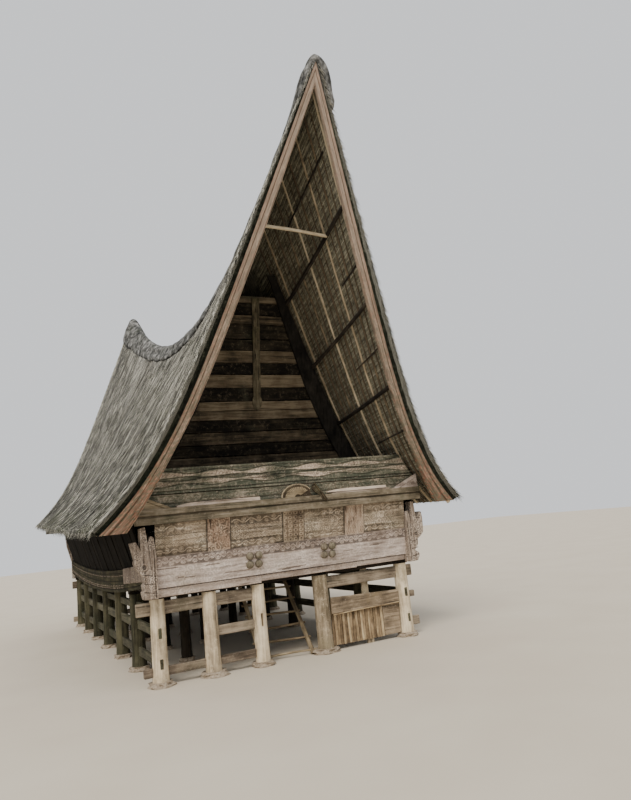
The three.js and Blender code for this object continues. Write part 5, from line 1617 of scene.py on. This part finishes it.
LONG, WIDE = 12.6, 0.36
for station, end in ((0, "front"), (1, "rear")):
    apex = float(ridge_z(np.array(station * 1.0))) - RIDGE_THICK
    inner_top = np.linspace(0.5, 1, 4000)
    half, z = bed(np.full_like(inner_top, station), inner_top)
    last = inner_top[np.argmax(half - barge_width(z, apex) < 0.0)]
    for side, place in SIDES:
        def on_verge(u, v, inward, side=side, station=station, last=last, apex=apex):
            share, across = v / LONG, u / WIDE
            s = np.full_like(share, float(station))
            half_out, z_out = bed(s, share)
            half_in, z_in = bed(s, share * last)
            half_in = np.maximum(half_in - barge_width(z_in, apex), 0)
            x = (half_out - SEAT) * (1 - across) + half_in * across
            z = (z_out - SEAT) * (1 - across) + (z_in - SEAT) * across
            away = -inward if station else inward
            return np.stack([side * np.maximum(x, 0.0002), station_y(s, z) + away, z], -1)

        def verge_relief(u, v):
            drawn = ray(u - WIDE * 0.34, 0.011) + 0.5 * ray(u - WIDE * 0.93, 0.010)
            return 1 - np.clip(drawn, 0, 1) - 0.22 * (rumple(u * 16, v * 0.9, 51.0) > 0.35)
        verge = carved_board(WIDE, LONG, 0.026, on_verge, verge_relief, 0.009, 0.06)
        mesh = verge.data
        places = points_of(mesh)
        z = places[:, 2]
        s = np.full_like(z, float(station))
        share = np.clip((z + SEAT - eave_z(s) + EAVE_THICK) / (apex - eave_z(s) + EAVE_THICK), 0, 1)
        from_edge = bed(s, share)[0] - np.abs(places[:, 0])
        outer_strip = np.clip(1.3 - from_edge / (0.34 * barge_width(z, apex)), 0, 1)
        note(mesh, "outer", np.maximum(outer_strip * 0.17, np.clip(1.2 - (z - 3.0) / 0.9, 0, 0.2)))
        laid = mesh.attributes.new("grain", "FLOAT_VECTOR", "POINT")
        grain = np.stack([from_edge + side * 3, places[:, 1] * 0.3, z * 1.03 + side * 7], -1)
        laid.data.foreach_set("vector", grain.astype(np.float32).ravel())
        stand(f"{end}_{place}_verge_board", [verge], barge_wood, "red_brown_board",
              f"{end}_{place}_barge_board")


# Ridge cap: a thick saddle of matted fibre over the ridge, lumpy and mossy, deepest at the two
# peaks, its lower edge ragged and painted dark as the shadow under the edge.

cap_fibre, tree, surface = new_material("matted_mossy_ridge_fibre")
spot = node(tree, "TexCoord").outputs["Object"]
tone = node(tree, "Attribute", attribute_name="tone").outputs["Fac"]
mats = node(tree, "TexNoise", {"Vector": spot, "Scale": 5.0, "Detail": 9, "Roughness": 0.72})
clumps = node(tree, "TexNoise", {"Vector": spot, "Scale": 1.6, "Detail": 7, "Roughness": 0.65})
level_of = node(tree, "Math", {0: tone, 1: 0.8, 2: mats}, operation="MULTIPLY_ADD")
grey = node(tree, "ValToRGB", {"Fac": level_of}, [(0.34, "161614"), (0.46, "464644"), (0.57, "7a7976"),
                                                  (0.72, "bdbcb8")])
green = node(tree, "MapRange", {"Value": clumps, "From Min": 0.48, "From Max": 0.66, "To Max": 0.55})
mossy = node(tree, "Mix", {0: green, 6: grey, 7: linear("40443a")}, data_type="RGBA")
lumps = node(tree, "Bump", {"Height": mats, "Strength": 1.0, "Distance": 0.08})
fill(tree, surface, {"Base Color": mossy, "Normal": lumps, "Roughness": 0.97})

CAP_LONG, CAP_ROUND = 280, 15
s = np.linspace(0, 1, CAP_LONG + 1)
s = 0.5 * s + 0.25 * (1 - np.cos(math.pi * s))
lobe = np.linspace(-1, 1, 2 * CAP_ROUND + 1)
s, lobe = np.meshgrid(s, lobe, indexing="ij")
side, u = np.where(lobe < 0, -1.0, 1.0), 1 - np.abs(lobe) ** 1.6
from_end = np.minimum(s, 1 - s)
endness = np.clip(1 - from_end * LENGTH / 1.6, 0, 1)
rounding = np.sqrt(1 - (1 - np.clip(from_end * LENGTH / 0.22, 0, 1)) ** 2)
ragged = 0.08 * rumple(s * 38, side * 3, 61.0) + 0.05 * rumple(s * 120, side * 3, 62.0)
depth = 0.45 + np.where(s > 0.5, 0.65, 0.35) * np.abs(2 * s - 1) ** 3 + ragged
t = 1 - (1 - u) * depth / (ridge_z(s) - eave_z(s))
half, z = skin(s, t)
lip = 0.25 + 0.75 * np.clip(u * 7, 0, 1)
flare = np.where(s > 0.5, 0.09, np.where(side > 0, 0.23, 0.02))
body = np.where((s < 0.5) & (side < 0), 0.095 - 0.05 * np.clip((0.5 - s) * 4, 0, 1), 0.095)
at_front = np.clip(1 - s * LENGTH / 0.9, 0, 1)
crown = np.where(side > 0, 0.09, 0.015) * at_front * np.clip((u - 0.45) / 0.3, 0, 1)
swell = (body + flare * endness) * np.sqrt(1 - u ** 8) * lip + crown * np.sqrt(1 - u ** 14)
swell += 0.045 * rumple(s * 30, lobe * 4, 63.0) * (1 - u ** 8) * lip
swell = 0.02 + (swell - 0.02) * rounding
reach = np.clip(from_end / 0.035, 0, 1)
hump = 0.08 + 0.06 * np.clip(1 - s * LENGTH / 0.8, 0, 1)
hump = hump + np.where(s > 0.5, 0.6, 0.35) * reach * (1 - reach)
top = (hump * u + 0.028 * rumple(s * 26, lobe * 3, 64.0)) * rounding
outside = np.stack([side * (half + swell), station_y(s, z), z + top], -1)
inside = np.stack([side * np.maximum(half - 0.02, 0), station_y(s, z), z - 0.05 * u], -1)
outside[:, CAP_ROUND, 0] = 0
inside[:, CAP_ROUND, 0] = 0
number = np.arange(s.size).reshape(s.shape)
under = number + s.size
front_edge = quads(number[0, :-1], number[0, 1:], under[0, 1:], under[0, :-1])
rear_edge = quads(number[-1, 1:], number[-1, :-1], under[-1, :-1], under[-1, 1:])
faces = np.concatenate([*shell_faces(number, under), front_edge, rear_edge])
cap = mesh_of("cap", np.concatenate([outside, inside]), faces.tolist())
# Painted shadow: the cap darkens towards its lower edge, less so near the two ends
edge_painted_shadow = np.clip(1 - u * 9, 0, 1) * -0.14 * np.clip(from_end * 5, 0, 1)
lumpy = 0.08 * rumple(s * 60, lobe * 6, 65.0)
note(cap.data, "tone", np.concatenate([edge_painted_shadow + lumpy, edge_painted_shadow]).ravel() + 0.02)
edit_whole(cap, bpy.ops.mesh.normals_make_consistent, inside=False)
stand("matted_ridge_cap", [cap], cap_fibre, "thatch", "ridge_cap")
bpy.ops.object.shade_smooth_by_angle(angle=math.radians(70))
